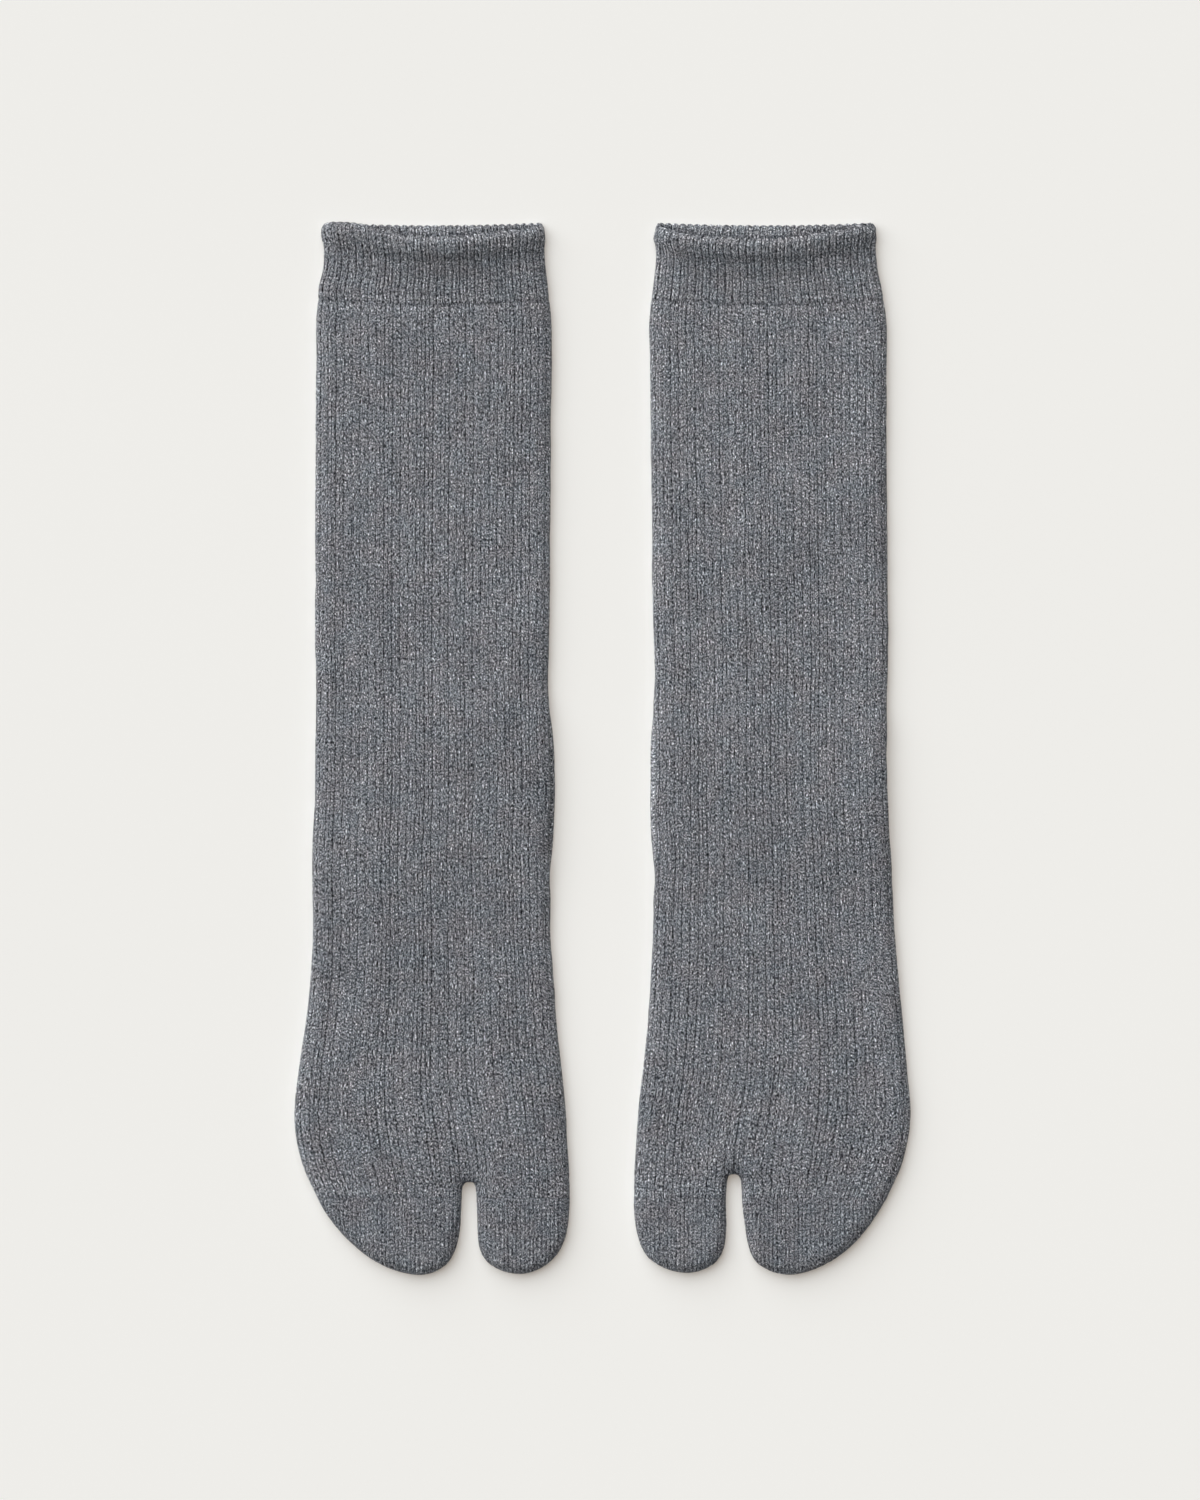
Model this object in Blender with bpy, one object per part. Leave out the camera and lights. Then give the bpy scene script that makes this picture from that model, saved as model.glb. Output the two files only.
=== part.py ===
"""Pair of ribbed split-toe (tabi) socks, laid flat side by side with the insteps up.

Row frame: +Z up from the surface, +Y from the toes to the cuffs, +X from the right-foot sock to the
left-foot sock. The origin lies on the surface, below the middle of the pair.

Each sock is built in a frame of its own, in millimetres: x runs across it from the outer edge (minus)
to the inner edge, where the big toe is (plus), and "down" is the distance from the mouth towards the
toes. The left-foot sock is the mirror twin of the right-foot one, with its own outline.

Every piece is a closed cloth wall: rings of points round the outside, rings round the inside, and a
strip that joins them at each open end. The knitted ribs stand in the outer rings alone. Each sock
lies on its back panel, which is flat and plain underneath.
"""

from bisect import bisect_left
from collections import namedtuple
from math import cos, exp, hypot, pi, radians, sin, sqrt

import bmesh
import bpy
from mathutils import Vector

MM = 0.001

# ---- driving sizes, in millimetres ---------------------------------------------------------------
PAIR_LENGTH = 399.9         # cuff edge to the tip of the toes
RIGHT_SOCK_X = -64.4        # centreline of the right-foot sock's leg
LEFT_SOCK_X = 63.3          # centreline of the left-foot sock's leg
MOUTH_Y = PAIR_LENGTH / 2

WALL = 2.0                  # cloth at the crest of a rib
SIDE_WALL = 2.4             # cloth round the folds at the sides
RIB_DEPTH = 0.55            # from a rib's crest to the groove beside it
SEAM_GAP = 0.3              # between two pieces that meet
SEAM_DIP = 0.45             # how far the cloth is drawn in at the cuff seam
SEAM_REACH = 2.2            # how far from the seam it is drawn in
FOLD_DEPTH = 7.0            # how far in from a side edge the upper panel is still rounding over
TOE_FOLD_DEPTH = 9.0
FORK_FOLD_DEPTH = 5.0       # the same beside the cleft, above the toe line
TOE_SETTLE = 10.0           # below the toe line the foot's rounding becomes the toe's over this length
REST_INSET = 2.6            # from a side edge to where the back panel meets the surface
WAIST_SHARE = 0.45          # height of a side's widest point, as a share of the fold's height
HEEL_OUT = 1.5              # how far the folded heel stands out past the upper panel's inner edge
HEEL_RAISE = 1.2            # how far the side's widest point is lifted over the folded heel
HEEL_CREASE_HEIGHT = 3.7    # of the crease between the upper panel's edge and the heel's layers
HEEL_CREASE_IN = 0.9        # how far that crease is sunk in from the upper panel's edge
HEEL_BULGE_HEIGHT = 1.9     # where the heel's layers stand out furthest
HEEL_TUCK = 1.4             # from there in to the surface

TOE_LINE = 370.5            # where the ribs end and the plain toe pockets begin
CUFF_SEAM = 29.3            # where the cuff meets the leg
RIB_FADE = 14.0             # the ribs sink into the plain knit over this length above the toe line
RIM_ROUND = 1.0             # half the thickness of the rolled edge
RIM_SHOULDER = 0.25         # inset of the row behind the rim, as a share of the rim's
RIM_RIB_SHARE = 0.5         # depth of the ribs right at the rim, as a share of the full depth
RIM_TURN = 12               # power by which the inset turns from downwards to sideways at the folds
SCALLOP = 0.5               # the rib crests stand this far past the grooves at the mouth
SEAM_FLARE = 0.2            # how far the leg's edges widen from the seam's row to the full leg

HOLLOW_MIN = 0.5            # least height of the inside between the panels
HOLLOW_END_RISE = 0.35      # height share of the inside at its side edges
HOLLOW_LIFT = 0.3           # share of a rounded underside's lift that the inside takes up
TIP_WALL = 2.5              # cloth left between a toe pocket's inside and its tip, past the side wall
TIP_HOLLOW_RISE = 0.4       # height of the inside's last point over its floor
TIP_CORE = 1.0              # least half width of the inside near a tip

CUFF_RIBS = (19, 12)        # ribs outside and inside the line of the cleft, seen from above
LEG_RIBS = (18, 12)
TOE_STEPS = 14              # points over a toe pocket's upper panel
UNDER_STEPS = (3, 2)        # stretches of the back panel outside and inside the cleft's line
SIDE_STEPS = 3              # stretches down each side, from the widest point to the surface
INNER_STEPS = (6, 4)        # stretches of the inside, outside and inside the cleft's line
POCKET_INNER_STEPS = 8
FINE_STEPS = 160            # steps used to measure along a panel before it is divided evenly

# One rib: the share of its pitch and how far the point rises from groove (0) to crest (1).
RibPoint = namedtuple("RibPoint", "along rise")
RIB_SHAPE = (
    RibPoint(0.0, 0.0),
    RibPoint(0.3, 1.0),
    RibPoint(0.7, 1.0),
)

# Heights along the sock. top: upper panel over the surface near the side folds; arch: extra height
# at the centre; dip: how far the upper panel's line sags towards the toes at the centre; floor: the
# back panel's thickness, with the folded heel lying in it; layers: how far the sides show the heel's
# separate layers.
Level = namedtuple("Level", "down top arch dip floor layers")
LEVELS = (
    Level(0.0, 6.2, 4.4, 5.7, 2.0, 0.0),
    Level(2.6, 6.6, 4.8, 5.4, 2.0, 0.0),
    Level(5.6, 5.9, 4.6, 5.0, 2.0, 0.0),
    Level(12.0, 5.6, 3.2, 4.0, 2.0, 0.0),
    Level(20.0, 5.5, 1.3, 2.9, 2.0, 0.0),
    Level(29.3, 5.6, 0.5, 2.0, 2.0, 0.0),
    Level(64.0, 5.6, 0.3, 0.0, 2.0, 0.0),
    Level(174.0, 5.7, 0.3, 0.0, 2.0, 0.0),
    Level(200.0, 7.8, 0.4, 0.0, 4.2, 1.0),
    Level(231.0, 7.8, 0.4, 0.0, 4.2, 1.0),
    Level(262.0, 6.0, 0.4, 0.0, 2.2, 0.0),
    Level(307.0, 5.8, 0.5, 0.0, 2.0, 0.0),
    Level(401.0, 6.4, 0.4, 0.0, 2.0, 0.0),
)

# Side edges of the cuff, of the leg and foot, and of the toe pockets.
Edges = namedtuple("Edges", "down outer inner")
# Below the fork's crotch the foot has two mouths, one either side of the cleft.
Fork = namedtuple("Fork", "down outer cleft_outer cleft_inner inner")
Sock = namedtuple("Sock", "name centre_x side cuff leg fork four_toe four_toe_tip big_toe big_toe_tip")

RIGHT_FOOT = Sock(
    name="right_foot", centre_x=RIGHT_SOCK_X, side=1,
    cuff=(
        Edges(0.9, -42.1, 41.4),
        Edges(2.6, -42.6, 42.5),
        Edges(5.6, -42.4, 42.8),
        Edges(8.2, -41.9, 42.7),
        Edges(18.8, -42.2, 43.2),
        Edges(24.0, -43.6, 43.8),
    ),
    leg=(
        Edges(37.0, -44.5, 45.1),
        Edges(105.0, -44.8, 44.9),
        Edges(174.0, -44.5, 44.1),
        Edges(187.0, -44.7, 45.4),
        Edges(200.0, -44.9, 46.3),
        Edges(231.0, -45.8, 46.1),
        Edges(246.0, -46.2, 45.4),
        Edges(268.0, -45.7, 44.9),
        Edges(290.0, -47.0, 46.3),
        Edges(307.0, -49.0, 47.5),
        Edges(323.0, -51.3, 49.2),
        Edges(340.0, -52.8, 50.9),
        Edges(352.0, -51.5, 51.4),
        Edges(360.0, -49.1, 52.0),
    ),
    fork=(
        Fork(364.6, -47.0, 13.9, 13.9, 52.0),
        Fork(365.1, -46.8, 12.4, 15.3, 52.0),
        Fork(366.6, -46.1, 11.3, 16.3, 52.0),
        Fork(TOE_LINE, -44.0, 11.1, 16.4, 52.1),
    ),
    four_toe=(
        Edges(TOE_LINE, -43.9, 11.1),
        Edges(374.0, -42.2, 11.0),
        Edges(378.3, -39.4, 10.8),
        Edges(382.9, -35.9, 10.2),
        Edges(387.0, -32.1, 9.5),
        Edges(390.8, -27.8, 8.5),
        Edges(394.2, -22.9, 6.8),
        Edges(396.9, -17.9, 4.1),
        Edges(398.6, -13.0, 1.0),
        Edges(399.5, -8.8, -1.8),
    ),
    four_toe_tip=399.9,
    big_toe=(
        Edges(TOE_LINE, 16.4, 52.1),
        Edges(377.0, 16.7, 51.8),
        Edges(382.9, 16.8, 51.1),
        Edges(387.0, 17.1, 49.9),
        Edges(390.8, 18.0, 48.0),
        Edges(394.2, 19.9, 45.4),
        Edges(396.9, 23.0, 41.9),
        Edges(398.5, 26.9, 38.3),
        Edges(399.2, 29.7, 35.9),
    ),
    big_toe_tip=399.5,
)

LEFT_FOOT = Sock(
    name="left_foot", centre_x=LEFT_SOCK_X, side=-1,
    cuff=(
        Edges(0.9, -40.3, 42.4),
        Edges(2.6, -40.8, 43.6),
        Edges(5.6, -41.0, 44.0),
        Edges(8.2, -40.8, 43.6),
        Edges(18.8, -41.6, 43.6),
        Edges(24.0, -42.7, 44.2),
    ),
    leg=(
        Edges(37.0, -44.6, 45.8),
        Edges(105.0, -45.0, 44.9),
        Edges(174.0, -45.1, 43.7),
        Edges(187.0, -45.0, 44.9),
        Edges(200.0, -44.8, 45.2),
        Edges(231.0, -45.9, 45.2),
        Edges(246.0, -46.9, 44.5),
        Edges(268.0, -47.8, 44.4),
        Edges(290.0, -49.6, 45.4),
        Edges(307.0, -51.3, 46.7),
        Edges(323.0, -52.6, 48.3),
        Edges(340.0, -53.9, 50.2),
        Edges(352.0, -52.1, 50.9),
        Edges(358.0, -50.5, 51.3),
    ),
    fork=(
        Fork(361.6, -49.3, 13.5, 13.5, 51.4),
        Fork(362.1, -49.1, 12.0, 15.0, 51.4),
        Fork(363.8, -48.3, 10.9, 16.0, 51.4),
        Fork(TOE_LINE, -44.9, 10.5, 16.3, 51.5),
    ),
    four_toe=(
        Edges(TOE_LINE, -44.8, 10.5),
        Edges(374.0, -42.9, 10.2),
        Edges(378.3, -40.1, 9.8),
        Edges(382.9, -36.8, 9.2),
        Edges(387.0, -33.2, 8.5),
        Edges(390.8, -29.1, 7.5),
        Edges(394.2, -24.3, 5.7),
        Edges(396.9, -19.4, 2.8),
        Edges(398.6, -14.8, -0.9),
        Edges(399.4, -11.4, -4.0),
    ),
    four_toe_tip=399.8,
    big_toe=(
        Edges(TOE_LINE, 16.3, 51.5),
        Edges(377.0, 16.2, 51.4),
        Edges(382.9, 16.2, 50.7),
        Edges(387.0, 16.5, 49.6),
        Edges(390.8, 17.5, 47.8),
        Edges(394.2, 19.6, 44.9),
        Edges(396.9, 22.9, 41.1),
        Edges(398.1, 25.7, 37.6),
        Edges(398.8, 28.1, 34.3),
    ),
    big_toe_tip=399.1,
)

CLEFT_LEAD = 35.0           # the ribs bend towards the cleft over this length above its crotch
DIMPLE_REACH = 12.0         # the panel sinks towards the crotch over this length
DIMPLE_WIDTH = 4.5
CROTCH_HEIGHT = 3.2         # height of the fold at the cleft's crotch
INNER_CROTCH_ABOVE = 4.5    # the inside forks this far above the crotch

# ---- finish: grey marled wool knit ---------------------------------------------------------------
Finish = namedtuple("Finish", "name color roughness")
RIBBED_KNIT = Finish("grey_marl_rib_knit", (0.160, 0.166, 0.182, 1.0), 0.92)
PLAIN_KNIT = Finish("grey_marl_plain_knit", (0.147, 0.153, 0.168, 1.0), 0.92)
SHARP_ANGLE = radians(50)

# A section across one tube. a and b are the x of its side edges; fold_a and fold_b are how far in
# from them the panel rounds over; low is how far the underside is off the surface near a tip.
Section = namedtuple(
    "Section", "down a b top arch dip floor layers waist fold_a fold_b low cleft dimple wall_a wall_b")


# ---- sections ------------------------------------------------------------------------------------
def ease(share):
    """Smooth step from 0 to 1."""
    share = min(max(share, 0.0), 1.0)
    return share * share * (3 - 2 * share)


def level_at(down):
    """Heights at a distance from the mouth, blended smoothly between the rows of LEVELS."""
    for before, after in zip(LEVELS, LEVELS[1:]):
        if down <= after.down:
            share = ease((down - before.down) / (after.down - before.down))
            return Level(*(low + (high - low) * share for low, high in zip(before, after)))
    return LEVELS[-1]


def tube_section(edges, cleft=0.0, crotch=None):
    """Section of the cuff, leg or foot, which may sink towards the crotch of the cleft."""
    level = level_at(edges.down)
    waist = WAIST_SHARE * level.top + HEEL_RAISE * level.layers
    dimple = 0.0
    if crotch is not None:
        share = ease(1 - (crotch - edges.down) / DIMPLE_REACH)
        dimple = (level.top + level.arch - CROTCH_HEIGHT) * share * share
    return Section(edges.down, edges.outer, edges.inner, level.top, level.arch, level.dip, level.floor,
                   level.layers, waist, FOLD_DEPTH, FOLD_DEPTH, 0.0, cleft, dimple, SIDE_WALL, SIDE_WALL)


def fork_sections(fork):
    """The two sections of the foot below the crotch: four-toe side and big-toe side."""
    outer = tube_section(Edges(fork.down, fork.outer, fork.cleft_outer))
    inner = tube_section(Edges(fork.down, fork.cleft_inner, fork.inner))
    return outer._replace(fold_b=FORK_FOLD_DEPTH), inner._replace(fold_a=FORK_FOLD_DEPTH)


def round_share(distance, depth):
    """Height share of a quarter round, a distance in from its edge."""
    near = min(max(distance / depth, 0.0), 1.0)
    return sqrt(1 - (1 - near) ** 2)


def pocket_section(edges, before, after, tip, foot_folds):
    """Section of a toe pocket, whose top and underside round off together towards the tip.

    foot_folds are the foot's rounding depths at its two sides, which the pocket takes up.
    """
    level = level_at(edges.down)
    waist = WAIST_SHARE * level.top
    run = after.down - before.down
    lean_a = sqrt(1 + ((after.outer - before.outer) / run) ** 2)
    lean_b = sqrt(1 + ((after.inner - before.inner) / run) ** 2)
    half = 0.5 * (edges.inner - edges.outer)
    to_tip = tip - edges.down
    top = waist + (level.top - waist) * round_share(to_tip, TOE_FOLD_DEPTH)
    low = waist * (1 - round_share(to_tip, REST_INSET))
    settle = ease((edges.down - TOE_LINE) / TOE_SETTLE)
    fold_a = foot_folds[0] + (TOE_FOLD_DEPTH * lean_a - foot_folds[0]) * settle
    fold_b = foot_folds[1] + (TOE_FOLD_DEPTH * lean_b - foot_folds[1]) * settle
    return Section(edges.down, edges.outer, edges.inner, top, level.arch * top / level.top, 0.0,
                   level.floor, 0.0, waist, min(fold_a, half), min(fold_b, half), low, 0.0, 0.0,
                   min(SIDE_WALL * lean_a, half - TIP_CORE), min(SIDE_WALL * lean_b, half - TIP_CORE))


def panel_z(x, section):
    """Height of the upper panel's rib crests at x."""
    across = (2 * x - section.a - section.b) / (section.b - section.a)
    crown = section.top + section.arch * (1 - across * across)
    crown -= section.dimple * exp(-((x - section.cleft) / DIMPLE_WIDTH) ** 2)
    rounding = min(round_share(x - section.a, section.fold_a), round_share(section.b - x, section.fold_b))
    return section.waist + (crown - section.waist) * rounding


def row_y(x, section, sag_share):
    """Row-frame y of a point: the upper panel's line sags at its centre, the back panel's doesn't."""
    across = (2 * x - section.a - section.b) / (section.b - section.a)
    sag = section.dip * (1 - across * across) * sag_share
    return MOUTH_Y - section.down - sag


# ---- outer rings ---------------------------------------------------------------------------------
def walk_panel(section, start, end, ribs, points_of_a_rib, depth):
    """Points over the upper panel from start to end, evenly divided into ribs.

    Returns (x, z, rise) for each point but the last. depth is the ribs' depth.
    """
    fine = []
    for step in range(FINE_STEPS + 1):
        x = start + (end - start) * (0.5 - 0.5 * cos(pi * step / FINE_STEPS))
        fine.append((x, panel_z(x, section)))
    run = [0.0]
    for here, there in zip(fine, fine[1:]):
        run.append(run[-1] + hypot(there[0] - here[0], there[1] - here[1]))
    points = []
    for rib in range(ribs):
        for place in points_of_a_rib:
            target = run[-1] * (rib + place.along) / ribs
            index = min(max(bisect_left(run, target), 1), FINE_STEPS)
            here, there = fine[index - 1], fine[index]
            length = run[index] - run[index - 1]
            share = (target - run[index - 1]) / length
            along_x = (there[0] - here[0]) / length
            along_z = (there[1] - here[1]) / length
            sunk = depth * (1 - place.rise)
            points.append((here[0] + (there[0] - here[0]) * share + along_z * sunk,
                           here[1] + (there[1] - here[1]) * share - along_x * sunk,
                           place.rise))
    return points


def natural_split(section, ribs):
    """x of the groove between the outer and inner ribs when all ribs are equally wide."""
    whole = walk_panel(section, section.a, section.b, sum(ribs), RIB_SHAPE[:1], 0.0)
    return whole[ribs[0]][0]


def lower_side(section, edge, inward, inset):
    """Points down a side, below its widest point, to the surface. inward is +1 or -1 along x.

    Where the heel is folded under, a crease parts the upper panel's edge from the heel's layers,
    which stand out past it on the inner side.
    """
    heel_out = HEEL_OUT if inward < 0 else 0.0
    crease = (edge + inward * (heel_out + HEEL_CREASE_IN), HEEL_CREASE_HEIGHT)
    bulge = (edge, HEEL_BULGE_HEIGHT)
    layered = (crease, bulge, (edge + inward * HEEL_TUCK, 0.0))
    points = []
    for step in range(1, SIDE_STEPS + 1):
        turn = 0.5 * pi * step / SIDE_STEPS
        x = edge + inward * (inset + REST_INSET * (1 - cos(turn)))
        z = section.waist - (section.waist - inset - section.low) * sin(turn)
        heel_x, heel_z = layered[step - 1]
        points.append((x + (heel_x - x) * section.layers, z + (heel_z - z) * section.layers))
    return points


def outer_ring(section, ribs, points_of_a_rib, depth=0.0, inset=0.0, split=None, scallop=0.0):
    """Ring round the outside, from the outer edge over the upper panel and back underneath."""
    upper_edge = section.b - HEEL_OUT * section.layers
    split = natural_split(section, ribs) if split is None else split
    shape = section._replace(b=upper_edge)
    top = walk_panel(shape, shape.a, split, ribs[0], points_of_a_rib, depth)
    top += walk_panel(shape, split, shape.b, ribs[1], points_of_a_rib, depth)
    # the side folds are as wide as the crests
    top[0] = (shape.a, shape.waist, 1.0)
    top.append((shape.b, shape.waist, 1.0))
    ring = []
    for x, z, rise in top:
        # the rim is drawn in towards the middle of the wall
        lean = min(abs(2 * x - shape.a - shape.b) / (shape.b - shape.a), 1.0) ** RIM_TURN
        side = 1 if 2 * x < shape.a + shape.b else -1
        y = row_y(x, shape, 1.0) - scallop * (1 - rise)
        ring.append(Vector((x + side * inset * lean, y, z - inset * (1 - lean))))
    down_inner = lower_side(section, section.b, -1, inset)
    down_outer = lower_side(section, section.a, 1, inset)
    under_y = row_y(section.a, section, 0.0)
    ring += [Vector((x, under_y, z)) for x, z in down_inner]
    rest_z = inset + section.low
    stretches = (
        (down_inner[-1][0], split, UNDER_STEPS[1]),
        (split, down_outer[-1][0], UNDER_STEPS[0]),
    )
    for start, end, steps in stretches:
        for step in range(1, steps + 1):
            ring.append(Vector((start + (end - start) * step / steps, under_y, rest_z)))
    ring.pop()
    ring += [Vector((x, under_y, z)) for x, z in reversed(down_outer)]
    return ring


# ---- inner rings ---------------------------------------------------------------------------------
def inner_ring(section, steps, split=None):
    """Ring round the inside: a low plain hollow between the upper panel and the back panel."""
    a = section.a + section.wall_a
    b = section.b - section.wall_b - HEEL_OUT * section.layers
    split = a + (b - a) * steps[0] / sum(steps) if split is None else split
    floor = section.floor + section.low * HOLLOW_LIFT
    stops = [a + (split - a) * step / steps[0] for step in range(steps[0])]
    stops += [split + (b - split) * step / steps[1] for step in range(steps[1])]
    stops.append(b)
    shape = section._replace(b=section.b - HEEL_OUT * section.layers)
    upper = []
    for x in stops:
        gap = panel_z(x, shape) - WALL - floor
        near = min(round_share(x - a, FOLD_DEPTH), round_share(b - x, FOLD_DEPTH))
        share = HOLLOW_END_RISE + (1 - HOLLOW_END_RISE) * near
        upper.append(Vector((x, row_y(x, shape, 1.0), floor + max(gap, HOLLOW_MIN) * share)))
    lower = [Vector((x, row_y(x, shape, 0.0), floor)) for x in reversed(stops[1:-1])]
    return upper + lower


# ---- joining rings into a closed wall ------------------------------------------------------------
def add_ring(mesh, points, side):
    """Vertices for a ring of millimetre points; side mirrors it for the left-foot sock."""
    return [mesh.verts.new((point.x * side * MM, point.y * MM, point.z * MM)) for point in points]


def edge_middles(ring):
    """Share of the way round the ring at which the middle of each edge lies, and a last value past 1.

    The share grows with x over the upper panel, from 0 to a half, and back underneath to 1.
    """
    across = [abs(vertex.co.x - ring[0].co.x) for vertex in ring]
    width = max(across)
    turn = across.index(width)
    places = [0.5 * x / width if index <= turn else 1 - 0.5 * x / width for index, x in enumerate(across)]
    places.append(1.0)
    return [0.5 * (here + there) for here, there in zip(places, places[1:])] + [2.0]


def join_rings(mesh, ring, other):
    """Skin between two rings that start at the same place and run the same way."""
    count, other_count = len(ring), len(other)
    if count == other_count:
        for index in range(count):
            after = (index + 1) % count
            mesh.faces.new((ring[index], ring[after], other[after], other[index]))
        return
    middles, other_middles = edge_middles(ring), edge_middles(other)
    index = other_index = 0
    while index < count or other_index < other_count:
        here, there = ring[index % count], other[other_index % other_count]
        if middles[index] <= other_middles[other_index]:
            index += 1
            mesh.faces.new((here, ring[index % count], there))
        else:
            other_index += 1
            mesh.faces.new((here, other[other_index % other_count], there))


def join_all(mesh, rings):
    """Skin over a row of rings."""
    for ring, following in zip(rings, rings[1:]):
        join_rings(mesh, ring, following)


def close_tip(mesh, ring, tip):
    """Fan that closes a pocket's end."""
    for here, there in zip(ring, ring[1:] + ring[:1]):
        mesh.faces.new((here, there, tip))


# ---- pieces --------------------------------------------------------------------------------------
def build_cuff(mesh, sock):
    """Ribbed band with a soft rolled edge, open at the mouth and at the seam."""
    seam = CUFF_SEAM - SEAM_GAP / 2
    last = sock.cuff[-1]
    at_leg = sock.leg[0]
    seam_edges = Edges(seam, 0.5 * (last.outer + at_leg.outer), 0.5 * (last.inner + at_leg.inner))
    rim = tube_section(sock.cuff[0]._replace(down=0.0))
    sections = [tube_section(edges) for edges in sock.cuff]
    sections.append(tube_section(seam_edges._replace(down=seam - SEAM_REACH)))
    outer = [
        outer_ring(rim, CUFF_RIBS, RIB_SHAPE, RIB_DEPTH * RIM_RIB_SHARE, RIM_ROUND, scallop=SCALLOP),
        outer_ring(sections[0], CUFF_RIBS, RIB_SHAPE, RIB_DEPTH, RIM_ROUND * RIM_SHOULDER),
    ]
    outer += [outer_ring(section, CUFF_RIBS, RIB_SHAPE, RIB_DEPTH) for section in sections[1:]]
    end = tube_section(seam_edges)
    outer.append(outer_ring(end, CUFF_RIBS, RIB_SHAPE, 0.0, SEAM_DIP))
    inner = [inner_ring(section, INNER_STEPS) for section in sections[::2] + [end]]
    outer = [add_ring(mesh, ring, sock.side) for ring in outer]
    inner = [add_ring(mesh, ring, sock.side) for ring in inner]
    join_all(mesh, outer)
    join_all(mesh, inner)
    join_rings(mesh, outer[0], inner[0])
    join_rings(mesh, outer[-1], inner[-1])


def build_leg_and_foot(mesh, sock):
    """Ribbed tube from the cuff seam over the folded heel to the toe line, forked at its end."""
    crotch = sock.fork[0]
    seam = CUFF_SEAM + SEAM_GAP / 2
    at_cuff, at_leg = sock.cuff[-1], sock.leg[0]
    seam_edges = Edges(seam, 0.5 * (at_cuff.outer + at_leg.outer), 0.5 * (at_cuff.inner + at_leg.inner))
    start = tube_section(seam_edges)
    below_seam = tube_section(
        Edges(seam + SEAM_REACH, at_leg.outer + SEAM_FLARE, at_leg.inner - SEAM_FLARE))
    rows = [tube_section(edges, crotch.cleft_outer, crotch.down) for edges in sock.leg]
    fork_row = tube_section(Edges(crotch.down, crotch.outer, crotch.inner), crotch.cleft_outer, crotch.down)

    outer = [add_ring(mesh, outer_ring(start, LEG_RIBS, RIB_SHAPE, 0.0, SEAM_DIP), sock.side)]
    for section in [below_seam] + rows + [fork_row]:
        natural = natural_split(section, LEG_RIBS)
        pull = ease(1 - (crotch.down - section.down) / CLEFT_LEAD)
        split = natural + (crotch.cleft_outer - natural) * pull
        depth = RIB_DEPTH * min(1.0, (TOE_LINE - section.down) / RIB_FADE)
        outer.append(add_ring(mesh, outer_ring(section, LEG_RIBS, RIB_SHAPE, depth, split=split), sock.side))
    join_all(mesh, outer)

    last_inner = crotch.down - 2 * INNER_CROTCH_ABOVE
    inner_rows = [section for section in [start] + rows if section.down < last_inner]
    inner_fork_row = tube_section(
        Edges(crotch.down - INNER_CROTCH_ABOVE, sock.leg[-1].outer, sock.leg[-1].inner),
        crotch.cleft_outer, crotch.down)
    inner = [add_ring(mesh, inner_ring(section, INNER_STEPS), sock.side) for section in inner_rows]
    inner.append(add_ring(mesh, inner_ring(inner_fork_row, INNER_STEPS, crotch.cleft_outer), sock.side))
    join_all(mesh, inner)
    join_rings(mesh, outer[0], inner[0])

    # the fork: each half ring is closed down the crotch, and runs on as a ring of its own
    ring = outer[-1]
    split_index = LEG_RIBS[0] * len(RIB_SHAPE)
    inner_edge_index = sum(LEG_RIBS) * len(RIB_SHAPE)
    under_index = inner_edge_index + SIDE_STEPS + UNDER_STEPS[1]
    top, bottom = ring[split_index], ring[under_index]
    wall = []
    for step in range(1, SIDE_STEPS):
        wall.append(mesh.verts.new(top.co.lerp(bottom.co, step / SIDE_STEPS)))
    outer_half = ring[:split_index + 1] + wall + ring[under_index:]
    inner_half = ring[split_index:under_index + 1] + wall[::-1]
    hollow = inner[-1]
    hollow_split = INNER_STEPS[0]
    hollow_under = 2 * sum(INNER_STEPS) - INNER_STEPS[0]
    hollow_outer = hollow[:hollow_split + 1] + hollow[hollow_under:]
    hollow_inner = hollow[hollow_split:hollow_under + 1]

    outer_rings, inner_rings = [outer_half], [inner_half]
    outer_hollows, inner_hollows = [hollow_outer], [hollow_inner]
    for fork in sock.fork[1:]:
        last = fork is sock.fork[-1]
        if last:
            fork = fork._replace(down=fork.down - SEAM_GAP / 2)
        four_toe, big_toe = fork_sections(fork)
        depth = RIB_DEPTH * max(0.0, (TOE_LINE - fork.down) / RIB_FADE)
        for section, ribs, under, rings, hollows, steps in (
                (four_toe, LEG_RIBS[0], UNDER_STEPS[0], outer_rings, outer_hollows, INNER_STEPS[0]),
                (big_toe, LEG_RIBS[1], UNDER_STEPS[1], inner_rings, inner_hollows, INNER_STEPS[1])):
            points = pocket_ring(section, ribs, RIB_SHAPE, under, depth)
            hollow_points = inner_ring(section, (steps, 0), section.b - section.wall_b)
            rings.append(add_ring(mesh, points, sock.side))
            hollows.append(add_ring(mesh, hollow_points, sock.side))
    for rings, hollows in ((outer_rings, outer_hollows), (inner_rings, inner_hollows)):
        join_all(mesh, rings)
        join_all(mesh, hollows)
        join_rings(mesh, rings[-1], hollows[-1])


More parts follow.
